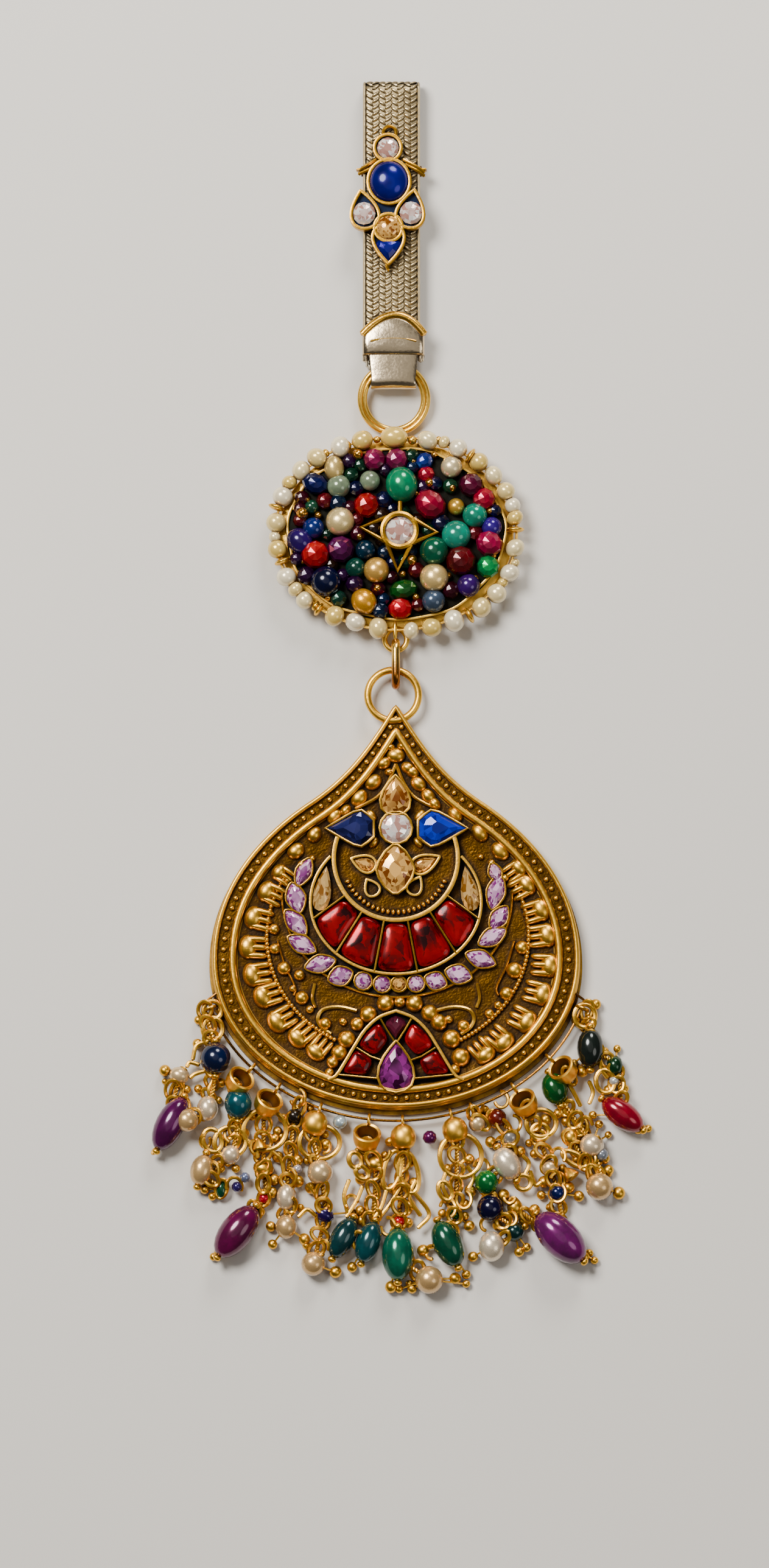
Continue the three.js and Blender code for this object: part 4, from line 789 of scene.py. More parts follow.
def field_rows(beads):
    """Rows for beads sunk in the pad by about a third of their half height, swelled to close the gaps."""
    rows = []
    for x, y, wide, long, _ in beads:
        small = min(wide, long)
        place = (SPREAD_X * x + CLUSTER[0], SPREAD_Y * y + CLUSTER[1], PAD_HIGH + STAND * small)
        rows.append((*place, SWELL * wide, SWELL * long, 1.1 * small, 9 * x))
    return rows


FILL_COLOURS = ["#3A0416", "#070B34", "#04301E", "#2A0534", "#5A0412", "#0A1E3A", "#241004"]


def between_beads(beads):
    """Small dark beads in the gaps: seeded places inside the oval, nearly clear of the beads before."""
    random = np.random.default_rng(11)
    taken = [STAR_ROOM, *[(x, y, 1.15 * max(wide, long)) for x, y, wide, long, _ in beads]]
    found = []
    while len(found) < FILL["count"]:
        reach, turn = np.sqrt(random.uniform()), random.uniform(0, TAU)
        x, y = FILL["half_x"] * reach * np.cos(turn), FILL["half_y"] * reach * np.sin(turn)
        d = random.uniform(FILL["least"], FILL["most"])
        if all(np.hypot(x - a, y - b) > FILL["near"] * (d + c) for a, b, c in taken):
            taken.append((x, y, d))
            found.append((x, y, d, d, FILL_COLOURS[len(found) % len(FILL_COLOURS)]))
    return found


def field_beads(shape, beads):
    """Beads of one shape in the field, each in its own colour."""
    return tinted(set_down(shape, field_rows(beads)), [bead[4] for bead in beads])


FILL_BEADS = between_beads(PEARL_BEADS + ROUND_BEADS + CUT_BEADS)
pad_levels = [(1, 2.3), (1, 2.75), (0.97, PAD_HIGH), (0.5, PAD_HIGH)]
pad_shape = stack(oval(17.9, 14.2, 72) + CLUSTER, pad_levels, CLUSTER)
cut_ball = ball(5, 9)
field_grains = [
    (x, y + CLUSTER[1], PAD_HIGH + 0.9 * d, 1.2 * d, 1.2 * d, 1.6 * d, 0)
    for x, y, d in FIELD_GRAINS
]
field_gold = metal_finish("field_gold", "#F4B44A", "#6A3408", 2.0, 3.4, 0.25, 0.4)
add_piece(
    "bead_cluster",
    [
        (polished_bead, [field_beads(smooth_ball, ROUND_BEADS)]),
        (warm_nacre, [field_beads(smooth_ball, PEARL_BEADS)]),
        (pad_finish, [pad_shape]),
        (field_gold, [set_down(small_ball, field_grains)]),
    ],
    ["bead_field"],
)
cut_beads = field_beads(cut_ball, CUT_BEADS + FILL_BEADS)
add_piece("cut_cluster_beads", [(cut_bead, [cut_beads])], crease=1)

# Star bezel in the middle of the field: a gold collar that stands on the plate and holds one clear stone.
# Three points of thin wire and a short bar stand out from it.
STAR = np.array([0.6, 68.3])
star_tips = np.array([[-6.3, 0.5], [6.1, -0.3], [-0.3, -6.6]])


def star_point(tip):
    """Two wires from the sides of the collar to one tip."""
    side = unit(np.array([-tip[1], tip[0]])) * 2.0
    root = unit(tip) * 2.2
    corners = np.stack([root + side, tip, root - side]) + STAR
    return sweep(raised(corners, [[5.2], [5.1], [5.2]]), 0.42, 0.45, 8)


top_bar = raised(np.array([[0.05, 2.9], [0.1, 3.8], [0.1, 4.8]]) + STAR, 5.1)
add_piece(
    "star_walls",
    [(setting_gold, [
        wall(oval(2.75, 2.75, 48) + STAR, 2.4, 5.9, 0.42),
        stack(oval(2.6, 2.6, 32) + STAR, [(1, 2.4), (1, 4.2)], STAR),
        *[star_point(tip) for tip in star_tips],
        sweep(top_bar, 0.4, 0.45, 8),
    ])],
    ["star_bezel"],
)
add_stone("star_crystal", "star_stone", cut_stone(oval(2.4, 2.4, 14) + STAR, 4.3, 5.1, 6.1), CRYSTAL)

# Link: a long loop of thick wire, standing on edge through the eyelet and the ring of the pendant.
# It is bright gold above and rubbed to copper brown below.
LINK = {"low": 44.9, "high": 48.4, "radius": 1.8, "z": 2.5}
link_turn = full_turn(64)
link_y = np.where(np.sin(link_turn) > 0, LINK["high"], LINK["low"]) + LINK["radius"] * np.sin(link_turn)
link_line = np.stack([0 * link_turn, link_y, LINK["z"] + LINK["radius"] * np.cos(link_turn)], -1)
link_finish, flow = new_finish("gold_to_copper")
place = flow.place()
cloud = flow.noise(place, 500.0)
link_height = flow.node("ShaderNodeSeparateXYZ", {}, {0: place}, 1) * (1 / MM)
lower = (link_height + cloud * 2).between(45.0, 48.5)
coated(flow, {
    "Base Color": flow.blend(lower, ink("#A5672A"), ink("#F0C466")),
    "Metallic": 1.0,
    "Roughness": 0.24 + cloud * 0.15,
    "Normal": flow.bump(cloud, 0.05 * MM),
})
link_shape = sweep(link_line, 0.7, sides=12, loop=True, up=(1, 0, 0))
add_piece("long_link", [(link_finish, [link_shape])], ["connecting_link"])

# Pendant body: a cast gold tray in the form of a drop with a pointed, hollow-sided neck.
# A double ridge runs round its edge with a row of grains in the groove, and a ring is soldered on the tip.
PENDANT = {"half_wide": 29.8, "widest": -2.0, "low": -25.8, "tip": 40.0}


def bezier(corners, count):
    """A cubic curve on four corners, without its first point."""
    t = np.linspace(0, 1, count)[1:, None]
    a, b, c, d = np.array(corners, float)
    return (1 - t) ** 3 * a + 3 * t * (1 - t) ** 2 * b + 3 * t**2 * (1 - t) * c + t**3 * d


def evenly(points, count, loop=False):
    """Points at even steps of length along a line."""
    points = np.concatenate([points, points[:1]]) if loop else np.asarray(points, float)
    length = np.concatenate([[0], np.cumsum(np.linalg.norm(np.diff(points, axis=0), axis=1))])
    want = np.linspace(0, length[-1], count, endpoint=not loop)
    return np.stack([np.interp(want, length, column) for column in points.T], -1)


quarter = np.radians(np.linspace(-90, 0, 120))[:, None]
round_x = np.cos(quarter) * PENDANT["half_wide"]
round_y = np.sin(quarter) * (PENDANT["widest"] - PENDANT["low"]) + PENDANT["widest"]
right = np.concatenate([
    np.concatenate([round_x, round_y], 1),
    bezier([(29.8, -2), (30, 10), (22, 18.7), (14, 24)], 90),
    bezier([(14, 24), (6.5, 29), (3.2, 35), (0, 40)], 70),
])
right = evenly(right, 241)
DROP = np.concatenate([right, (right * [-1, 1])[-2:0:-1]])
tip = np.array([0, PENDANT["tip"]])
SIDE = [(1.02, 0.0), (1.018, 0.9), (1.008, 1.0), (1.006, 1.9), (1.001, 2.1), (1.0, 2.7)]
TOP = [
    (0.994, 3.05), (0.983, 3.0), (0.976, 2.4), (0.912, 2.4), (0.904, 2.9), (0.882, 3.0), (0.868, 1.9),
    (0.846, 1.8), (0.7, 1.8), (0.45, 1.8), (0.2, 1.8),
]
tray_rings = [raised(tip + (DROP - tip) * share, z) for share, z in SIDE]
tray_rings += [raised(DROP * share, z) for share, z in TOP]
tray = skin(np.stack(tray_rings))
# The ground and a strip laid on the floor of the groove take a dark brown gold: partly patina, partly painted
# shade in these hollows.
ground = stack(DROP, [(0.862, 1.6), (0.862, 1.92), (0.84, 1.86), (0.6, 1.84), (0.4, 1.84), (0.15, 1.84)])
GROOVE = [(0.977, 2.3), (0.976, 2.45), (0.911, 2.45), (0.91, 2.3)]
groove_floor = skin(np.stack([raised(DROP * share, z) for share, z in GROOVE]), loop=True)
ground_gold = metal_finish("ground_gold", "#60400E", "#0E0501", 1.2, 2.7, 0.38, 0.9, 0.2)
pendant_gold = metal_finish("antique_gold", "#F4B83C", "#2E1604", 0.6, 2.75, 0.34, 0.55)
groove = evenly(DROP * 0.943, 104, True)
groove_grains = set_down(small_ball, [(x, y, 2.6, 0.9, 0.9, 1.0, 0) for x, y in groove])
tip_ring = raised(oval(4.15, 4.15, 64) + [-0.45, 41.5], 2.5)
rim_gold = metal_finish("rim_gold", "#FFC444", "#5A300A", 2.3, 2.85, 0.36, 0.3)
add_piece(
    "pendant_tray",
    [
        (pendant_gold, [tray]),
        (ground_gold, [ground, groove_floor]),
        (rim_gold, [
            sweep(raised(DROP * 0.988, 2.9), 0.4, 0.42, 10, loop=True),
            sweep(raised(DROP * 0.892, 2.8), 0.58, 0.5, 10, loop=True),
            sweep(tip_ring, 0.6, sides=12, loop=True),
            groove_grains,
        ]),
    ],
    ["pendant"],
)

# Lobes of the inner border, cast with the tray: a round ball towards the rim with fluted fingers behind it.
# They are largest round the body and turn into small nuggets up the neck.
# Place and width; the nuggets also have a turn.
LOBES = [
    (-20.7, 9.2, 3.3), (-22.8, 5.0, 3.5), (-23.7, 0.3, 3.6), (-23.0, -4.2, 3.6), (-21.3, -7.7, 3.6),
    (-19.0, -11.7, 3.6), (-15.7, -14.3, 3.4), (-12.8, -16.5, 3.2), (21.0, 10.3, 3.3), (23.3, 6.3, 3.5),
    (24.3, 2.2, 3.6), (24.7, -2.7, 3.6), (23.5, -7.3, 3.6), (21.0, -11.7, 3.6), (17.3, -15.0, 3.5),
    (14.3, -17.0, 3.3), (-18.7, 12.3, 2.7), (19.7, 13.0, 2.9),
]
NUGGETS = [
    (-16.3, 16.0, 2.4, 40), (-13.3, 18.7, 2.2, 60), (-10.0, 21.7, 2.2, 60), (-8.2, 22.6, 1.7, 60),
    (-6.0, 24.7, 2.4, 50), (-3.7, 27.3, 2.3, 40), (-2.0, 30.4, 1.9, 30), (0.0, 31.7, 2.4, 0),
    (2.0, 29.6, 1.9, -30), (2.7, 29.0, 1.9, -30), (3.7, 27.0, 2.2, -40), (5.3, 25.0, 2.1, -50),
    (6.3, 23.7, 1.8, -50), (9.7, 22.0, 2.2, -60), (13.7, 19.0, 2.5, -60), (17.0, 16.0, 2.6, -50),
    (-1.1, 28.9, 1.2, 0), (1.0, 33.2, 1.3, 0), (-0.9, 33.0, 1.2, 0), (0.0, 35.2, 1.5, 0),
]
lobes = np.array(LOBES)
outward = lobes[:, :2] - [0, -1]
heading = np.degrees(np.arctan2(outward[:, 1], outward[:, 0])) - 90
away = np.stack([-np.sin(np.radians(heading)), np.cos(np.radians(heading))], -1)
lobe_balls = [
    (x + 0.4 * a[0], y + 0.4 * a[1], 1.9, 1.16 * d, 0.9 * d, 2.8, turn)
    for (x, y, d), a, turn in zip(LOBES, away, heading)
]
fingers = [
    (
        x - 0.8 * a[0] + d * k * a[1], y - 0.8 * a[1] - d * k * a[0], 1.85,
        0.35 * d, 1.2 * d, 2.5 - 1.6 * k * k, turn,
    )
    for (x, y, d), a, turn in zip(LOBES, away, heading)
    for k in (-0.37, 0.0, 0.37)
]
nuggets = [(x, y, 1.9, 1.35 * d, 1.1 * d, 2.4, turn) for x, y, d, turn in NUGGETS]
lobe_ball = ball(8, 14)
blunt = np.sign(small_ball[0]) * np.abs(small_ball[0]) ** [1, 0.5, 1]
finger = (blunt, small_ball[1])
relief_gold = metal_finish("relief_gold", "#FFC546", "#6A3C0C", 1.5, 2.4, 0.34, 0.5)
border = [set_down(lobe_ball, lobe_balls), set_down(finger, fingers), set_down(lobe_ball, nuggets)]
add_piece("lobe_border", [(relief_gold, border)])

# Line work of the field: wires and rows of grains soldered or cast on the tray.
# A beaded oval, scrolls and bars, the double outline of the crescent, and the frame over the flower.


def arc(x, y, half_x, half_y, start, end, count):
    """Part of an ellipse between two angles in degrees."""
    t = np.radians(np.linspace(start, end, count))
    return np.stack([x + half_x * np.cos(t), y + half_y * np.sin(t)], -1)


def both(points):
    """A line and its mirror image over the middle of the pendant."""
    points = np.asarray(points, float)
    return [points, (points * [-1, 1])[::-1]]


RING_Y, RING_R = 14.7, 10.1
CRESCENT = arc(0, 7.5, 13.9, 11.7, 140, 400, 140)
scroll = smooth([(6.4, -10.1), (9.3, -9.5), (11.8, -9.9), (12.7, -11.3), (12.1, -12.8), (10.6, -13.9)], 30)
bar = smooth([(13.2, -5.7), (13.6, -8.0), (13.1, -9.6)], 12)
ogee = smooth([(0, 30.2), (1.4, 26.9), (3.2, 24.7), (6.6, 22.9)], 24)
twig = smooth([(19.2, 1.2), (18.0, -2.8), (16.4, -6.2), (16.6, -7.6)], 16)
wires = [
    *[(line, 0.36, 2.05) for line in both(scroll)],
    *[(line, 0.3, 2.05) for line in both(bar)],
    *[(line, 0.32, 2.2) for line in both(ogee)],
    *[(line, 0.22, 2.0) for line in both(twig)],
    (arc(0.2, 8.5, 18.7, 16.4, 178, 362, 100), 0.24, 2.1),
]
beaded = [evenly(arc(0.3, 2.0, 21.3, 19.2, *span, 200), 46) for span in ((-61, 29), (151, 241))]
beaded_rows = [(x, y, 2.0, 0.85, 0.85, 1.4, 0) for line in beaded for x, y in line]
inner_row = evenly(arc(0, RING_Y, 8.7, 8.7, 205, 335, 120), 24)
beaded_rows += [(x, y, 2.0, 0.7, 1.1, 1.3, np.degrees(np.arctan2(y - RING_Y, x)) + 90) for x, y in inner_row]
GRAINS = [
    (-18.2, -3.2, 2.0), (-19.7, 0.0, 1.6), (-19.8, 3.2, 1.6), (-15.7, -4.3, 1.6), (-16.8, -6.5, 1.0),
    (-15.3, -8.0, 2.0), (20.5, 0.2, 2.0), (19.3, -3.5, 2.4), (18.0, -7.3, 2.0), (16.6, -9.2, 1.2),
    (15.2, -10.6, 1.4), (-14.0, -9.9, 1.2), (-1.7, -8.9, 2.5), (0.6, -8.7, 1.6), (3.0, -8.9, 2.5),
    (-4.5, -10.7, 2.5), (-6.3, -12.3, 2.0), (-8.0, -14.8, 2.6), (-9.2, -17.0, 2.4), (-10.3, -18.5, 1.8),
    (-10.8, -20.2, 1.4), (5.5, -10.5, 2.5), (7.0, -12.0, 2.4), (9.0, -14.7, 2.7), (10.5, -17.7, 2.7),
    (-11.5, -12.2, 1.8), (11.0, -12.6, 1.8), (9.6, -19.6, 1.5), (-8.6, -11.9, 1.2), (8.6, -11.5, 1.2),
    (-17.6, 11.2, 1.0), (17.8, 11.6, 1.1), (-15.4, 13.8, 1.1), (15.6, 14.0, 1.1), (-13.6, 14.8, 0.9),
    (13.8, 15.0, 0.9),
]
line_grains = [(x, y, 2.1, 1.2 * d, 1.2 * d, 0.9 * d + 0.5, 0) for x, y, d in GRAINS]
crescent_ring = arc(0, RING_Y, RING_R, RING_R, 160, 380, 120)
crescent_gold = metal_finish("crescent_gold", "#E6AE3C", "#4E2C08", 2.2, 3.1, 0.38, 0.4)
add_piece(
    "field_wires",
    [
        (relief_gold, [
            *[sweep(raised(line, z), wide, 0.5, 8) for line, wide, z in wires],
            set_down(small_ball, beaded_rows),
            set_down(small_ball, line_grains),
        ]),
        (crescent_gold, [
            sweep(raised(CRESCENT, 2.7), 0.24, 0.85, 8, power=SQUARE),
            sweep(raised(crescent_ring, 2.8), 0.36, 0.9, 8, power=SQUARE),
        ]),
    ],
)

# Crescent: five red stones cut to fill the cells between its two lines, with thin gold walls between them.
# A champagne stone sits in each horn.
RED_STEP, RED_HALF = 21.5, 10.0


def outer_reach(degrees):
    """Distance from the middle of the inner ring to the outer line, at an angle from straight down."""
    offset = CRESCENT - [0, RING_Y]
    angle = np.degrees(np.arctan2(offset[:, 0], -offset[:, 1]))
    order = np.argsort(angle)
    return np.interp(degrees, angle[order], np.linalg.norm(offset, axis=1)[order])


def from_ring(reach, degrees):
    """A place at a reach from the middle of the inner ring, at an angle from straight down."""
    a = np.radians(degrees)
    return np.stack([reach * np.sin(a), RING_Y - reach * np.cos(a)], -1)


def rounded(outline, count=40, times=6):
    """An outline with worn corners: each point moves, several times, towards its two neighbours."""
    points = evenly(outline, count, True)
    for _ in range(times):
        points = (np.roll(points, 1, 0) + 2 * points + np.roll(points, -1, 0)) / 4
    return points


ruby = gem_finish("red_foiled_stone", "#1C0002", "#9C020C", 0.25, 0.18, 0.1)
champagne = gem_finish("champagne_stone", "#7A4C14", "#F0C478", 0.6)
RUBY, WORN = (ruby, "ruby"), 50
for number in range(5):
    spread = (number - 2) * RED_STEP + np.linspace(-RED_HALF, RED_HALF, 5)
    far = from_ring(outer_reach(spread) - 0.35, spread)
    near = from_ring(np.full(5, RING_R + 0.45), spread)[::-1]
    cell = rounded(np.concatenate([far, near]))
    add_stone(f"red_stone_{number + 1}", f"ruby_{number + 1}", cabochon(cell, 1.9, 2.9, 3.7), RUBY, WORN)
divider_angles = (np.arange(6) - 2.5) * RED_STEP
dividers = [
    sweep(raised(from_ring(np.linspace(RING_R, outer_reach(a), 3), a), 2.6), 0.15, 1.05, 8, power=SQUARE)
    for a in divider_angles
]
add_piece("crescent_walls", [(crescent_gold, dividers)])
for side, node in ((-1, "horn_left_stone"), (1, "horn_right_stone")):
    horn = turned(pear(3.0, 7.4, 16), side * 10, (side * 11.9, 9.8))
    add_stone(f"champagne_{node}", node, cut_stone(horn, 1.9, 2.9, 3.7), (champagne, "champagne"))

# Garland along the outside of the crescent: small rose and lilac stones, slanting like leaves at the sides
# and round at the foot, with a champagne one in the middle, each in a thin gold wall.
# Place, width, length and turn.
GARLAND = [
    (-15.0, 12.5, 2.4, 4.2, -25), (-16.3, 8.3, 3.0, 4.2, 15), (-16.3, 4.3, 2.8, 4.2, 40),
    (-15.3, 0.7, 2.7, 4.2, 62), (-12.3, -2.5, 2.7, 4.2, 105), (-9.0, -4.5, 3.0, 3.4, 110),
    (-5.3, -5.3, 2.8, 2.8, 0), (-2.2, -5.8, 2.7, 2.7, 0), (0.5, -5.8, 2.4, 2.4, 0),
    (3.3, -5.7, 2.7, 2.7, 0), (6.5, -5.3, 2.8, 3.0, 70), (10.2, -4.2, 3.0, 3.6, 75),
    (13.8, -1.7, 2.7, 4.2, 70), (15.7, 1.9, 2.7, 4.2, -60), (16.8, 5.0, 2.6, 3.8, -35),
    (16.3, 9.3, 2.8, 5.0, -14), (16.2, 12.4, 2.0, 2.8, 20),
]
MIDDLE_ROSE = 8


def rose_outline(x, y, wide, long, turn):
    """A soft diamond for a stone longer than wide, and a circle for the others."""
    if long > wide:
        return turned(lozenge(1.02 * wide, 1.18 * long, 16), turn, (x, y))
    return turned(oval(0.48 * wide, 0.48 * long, 12), turn, (x, y))


rose = gem_finish("rose_lilac_stone", "#74266E", "#FFCEF2", 0.8)
rose_outlines = [rose_outline(*row) for row in GARLAND]
rose_cuts = [cut_stone(outline, 1.9, 2.5, 3.3, 0.45) for outline in rose_outlines]
rose_walls = [wall(inset(outline, -0.14), 1.7, 2.75, 0.16) for outline in rose_outlines]
middle_cut = rose_cuts.pop(MIDDLE_ROSE)
add_piece("rose_stones", [(rose, rose_cuts), (honey, [middle_cut])], ["rose_garland"], 1)
garland_gold = metal_finish("garland_gold", "#B07E24", "#1E0E03", 2.0, 3.0, 0.3, 0.4)
add_piece("garland_walls", [(garland_gold, rose_walls)])

# Flower over the crescent: a round clear stone, two blue side petals, and honey stones above and below.
# Each stone stands in a thin gold wall; small petals and loops of wire fill the corners.
navy = gem_finish("navy_stone", "#05061E", "#2A2F6E", 0.3)
cobalt = gem_finish("cobalt_stone", "#060F6C", "#1A38D8", 0.4)


def kite(wide, long, count=16):
    """A petal with straight sides, pointed at its outer end and blunt at its inner end."""
    side = np.array([(0.26, -0.44), (0.5, -0.2), (0.45, -0.06)])
    corners = np.concatenate([[(0, 0.5)], (side * [-1, 1])[::-1], side])
    return evenly(corners * [wide, long], count, True)


FLOWER = [
    ("flower_stone", oval(2.45, 2.45, 14), (0, 19.7, 0), CRYSTAL),
    ("flower_top_stone", pear(4.6, 6.2, 14), (-0.1, 25.0, 0), CHAMPAGNE),
    ("flower_left_stone", kite(5.6, 8.0), (-7.3, 19.6, 90), (navy, "sapphire")),
    ("flower_right_stone", kite(5.6, 8.2), (7.4, 19.6, -90), (cobalt, "sapphire")),
    ("flower_low_stone", lozenge(5.8, 7.8, 14), (-0.1, 12.9, 0), CHAMPAGNE),
]
petal_walls = []
for node, outline, (x, y, turn), finish in FLOWER:
    petal = turned(outline, turn, (x, y))
    add_stone(f"cut_{node}", node, cut_stone(petal, 2.3, 3.4, 4.2), finish)
    petal_walls.append(wall(inset(petal, -0.2), 1.7, 3.7, 0.2))
SMALL_PETALS = [
    (-5.3, 14.0, 2.8, 4.2, 70), (4.9, 14.0, 3.0, 5.0, -65),
    (3.2, 10.3, 2.4, 3.2, -30), (-4.0, 10.0, 2.4, 3.0, 30),
]
FILLED_PETALS = 2
petal_loops = [
    wall(turned(pear(wide, long, 28), turn, (x, y)), 1.7, 2.9, 0.2)
    for x, y, wide, long, turn in SMALL_PETALS
]
petal_fill = [
    cabochon(turned(pear(wide - 0.5, long - 0.5, 24), turn, (x, y)), 1.7, 1.9, 2.5)
    for x, y, wide, long, turn in SMALL_PETALS[:FILLED_PETALS]
]
CORNER_GRAINS = [
    (-4.0, 21.8, 1.9, 1.6, 2.4, 1.6, 40), (3.9, 21.8, 1.9, 1.6, 2.4, 1.6, -40),
    (-3.6, 17.4, 1.9, 1.4, 2.2, 1.5, -40), (3.6, 17.4, 1.9, 1.4, 2.2, 1.5, 40),
]
add_piece(
    "flower_walls",
    [
        (crescent_gold, petal_walls),
        (relief_gold, [*petal_loops, set_down(small_ball, CORNER_GRAINS)]),
        (honey, petal_fill),
    ],
)

# Fan at the foot: an arch of gold wire cut by rays into cells, each filled with a red or plum stone.
# A magenta drop stands in its middle with the point up.
ARCH_SIDE = [(0, -10.2), (2.8, -11.3), (5.0, -13.3), (6.7, -15.9), (8.3, -18.6), (9.7, -20.7), (11.0, -21.4)]
fan_side = smooth(ARCH_SIDE, 40)
fan_arch = np.concatenate([(fan_side * [-1, 1])[:0:-1], fan_side])
plum = gem_finish("plum_stone", "#1E0410", "#6A2038", 0.2)
magenta = gem_finish("magenta_stone", "#2A0222", "#9C3092", 0.4)
CELLS = {
    "upper": [(2.7, -12.1), (4.7, -13.8), (6.1, -15.8), (3.4, -17.4), (1.3, -14.9)],
    "lower": [(6.5, -16.5), (7.8, -18.6), (8.7, -20.2), (4.9, -20.6), (3.8, -18.1)],
}
for level, cell in CELLS.items():
    for side, word in ((1, "right"), (-1, "left")):
        outline = rounded(inset(np.array(cell)[::-side] * [side, 1], -0.2), 30, 4)
        node = f"fan_{level}_{word}_stone"
        add_stone(f"red_{node}", node, cabochon(outline, 1.9, 2.8, 3.5), RUBY, WORN)
TOP_CELL = [(0, -14.6), (1.9, -12.2), (0.9, -11.3), (0, -10.9), (-0.9, -11.3), (-1.9, -12.2)]
fan_top = cut_stone(evenly(np.array(TOP_CELL), 12, True), 1.9, 2.6, 3.4)
add_stone("plum_fan_stone", "fan_top_stone", fan_top, (plum, "amethyst"))
fan_drop = pear(5.6, 8.0, 16) + [0, -19.3]
drop_cut = cut_stone(fan_drop, 2.3, 3.1, 4.0, 0.4)
add_stone("magenta_drop", "fan_drop_stone", drop_cut, (magenta, "amethyst"))
RAYS = [
    [(0.3, -15.1), (1.4, -13.4), (2.5, -11.5)],
    [(2.5, -18.2), (4.2, -17.6), (6.4, -16.2)],
    [(3.0, -21.2), (6.0, -20.9), (9.2, -20.6)],
]
fan_wires = [sweep(raised(line, 2.55), 0.14, 1.0, 8, power=SQUARE) for ray in RAYS for line in both(ray)]
foot_line = smooth([(0.0, -23.8), (2.6, -22.9), (6.5, -22.0), (10.8, -21.6)], 24)
foot_wire = [sweep(raised(line, 2.2), 0.3, 0.5, 8) for line in both(foot_line)]
add_piece(
    "fan_walls",
    [(crescent_gold, [
        sweep(raised(fan_arch, 2.6), 0.26, 0.95, 8, power=SQUARE),
        wall(inset(fan_drop, -0.2), 1.7, 3.7, 0.2),
        *fan_wires,
        *foot_wire,
    ])],
)

# Fringe: each drop is a twist of gold wire with beads on it, hung from a rail under the foot of the pendant.
# Most start in a small gold cup over the loop; the beads lie on the surface as they fell.
RAIL = {"half_x": 31.5, "half_y": 26.0, "z": 1.8}
TWIST = {"steps": 7, "turns": 0.9, "apart": 0.2, "radius": 0.22}


def rail_point(degrees):
    """A place on the rail and the direction out of it, at an angle round the pendant."""
    a = np.radians(degrees)
    out = np.array([np.cos(a) / RAIL["half_x"], np.sin(a) / RAIL["half_y"], 0])
    place = np.array([RAIL["half_x"] * np.cos(a), PENDANT["widest"] + RAIL["half_y"] * np.sin(a), RAIL["z"]])
    return place, unit(out)


def lathe(profile, origin, axis, sides=28):
    """A profile of lengths and radii turned about an axis that starts at the origin."""
    along, radius = np.array(profile, float).T
    axis = unit(np.asarray(axis, float))
    first = unit(np.cross((0, 0, 1), axis))
    second = np.cross(axis, first)
    around = full_turn(sides)
    spoke = np.cos(around)[:, None] * first + np.sin(around)[:, None] * second
    rings = origin + along[:, None, None] * axis + radius[:, None, None] * spoke
    return skin(rings, ends=[rings[0].mean(0), rings[-1].mean(0)])


def twist(route):
    """Two thin wires wound about one line: each keeps a turning offset from it, half a turn apart."""
    line = smooth(route, 400)
    length = np.linalg.norm(np.diff(line, axis=0), axis=1).sum()
    line = evenly(line, int(TWIST["steps"] * length))
    along = unit(np.gradient(line, axis=0))
    across = unit(np.cross((0, 0, 1), along))
    phase = TAU * np.linspace(0, TWIST["turns"] * length, len(line))[:, None]
    offset = TWIST["apart"] * (np.cos(phase) * across + np.sin(phase) * np.cross(along, across))
    return [sweep(line + side * offset, TWIST["radius"], sides=6) for side in (1, -1)]


OPEN_CUP = [
    (0, 0.3), (0.1, 0.9), (0.5, 1.55), (1.1, 2.0), (1.9, 2.2), (2.8, 2.25), (3.25, 2.3), (3.45, 2.1),
    (3.25, 1.8), (2.5, 1.7), (1.5, 1.35), (1.0, 0.4),
]
DOME_CUP = [
    (0, 0.5), (0.1, 1.2), (0.5, 1.7), (1.2, 2.0), (2.0, 2.1), (2.9, 1.9), (3.6, 1.4), (4.0, 0.7), (4.15, 0.2),
]
# Profile of a cup, height of its foot, and how far its mouth is tipped up.
CUPS = {"open": (OPEN_CUP, 1.3, 1.0), "dome": (DOME_CUP, 2.12, 0.0)}
CUP_REACH, LOOP_RADIUS = 4.6, 0.95
fringe_gold = metal_finish("fringe_gold", "#FCC040", "#5A2E08", -0.6, 1.6, 0.34, 0.9)
cup_gold = metal_finish("cup_gold", "#FFC648", "#5A300A", -0.8, 1.6, 0.4, 0.1, 0.01, 0.2)
# Painted shade: a dark brown shell lines the inside of each open cup, for the shade under its lip.
painted_cup_shade = metal_finish("painted_cup_shade_gold", "#8A5818", "#160903", 0.0, 4.0, 0.5, 0.1, 0.01, 0.2)
CUP_SHADE_SHELL = [
    (0.9, 0.3), (1.35, 1.2), (2.4, 1.62), (3.1, 1.72), (3.15, 1.62), (2.5, 1.5), (1.6, 1.05), (1.3, 0.2),
]
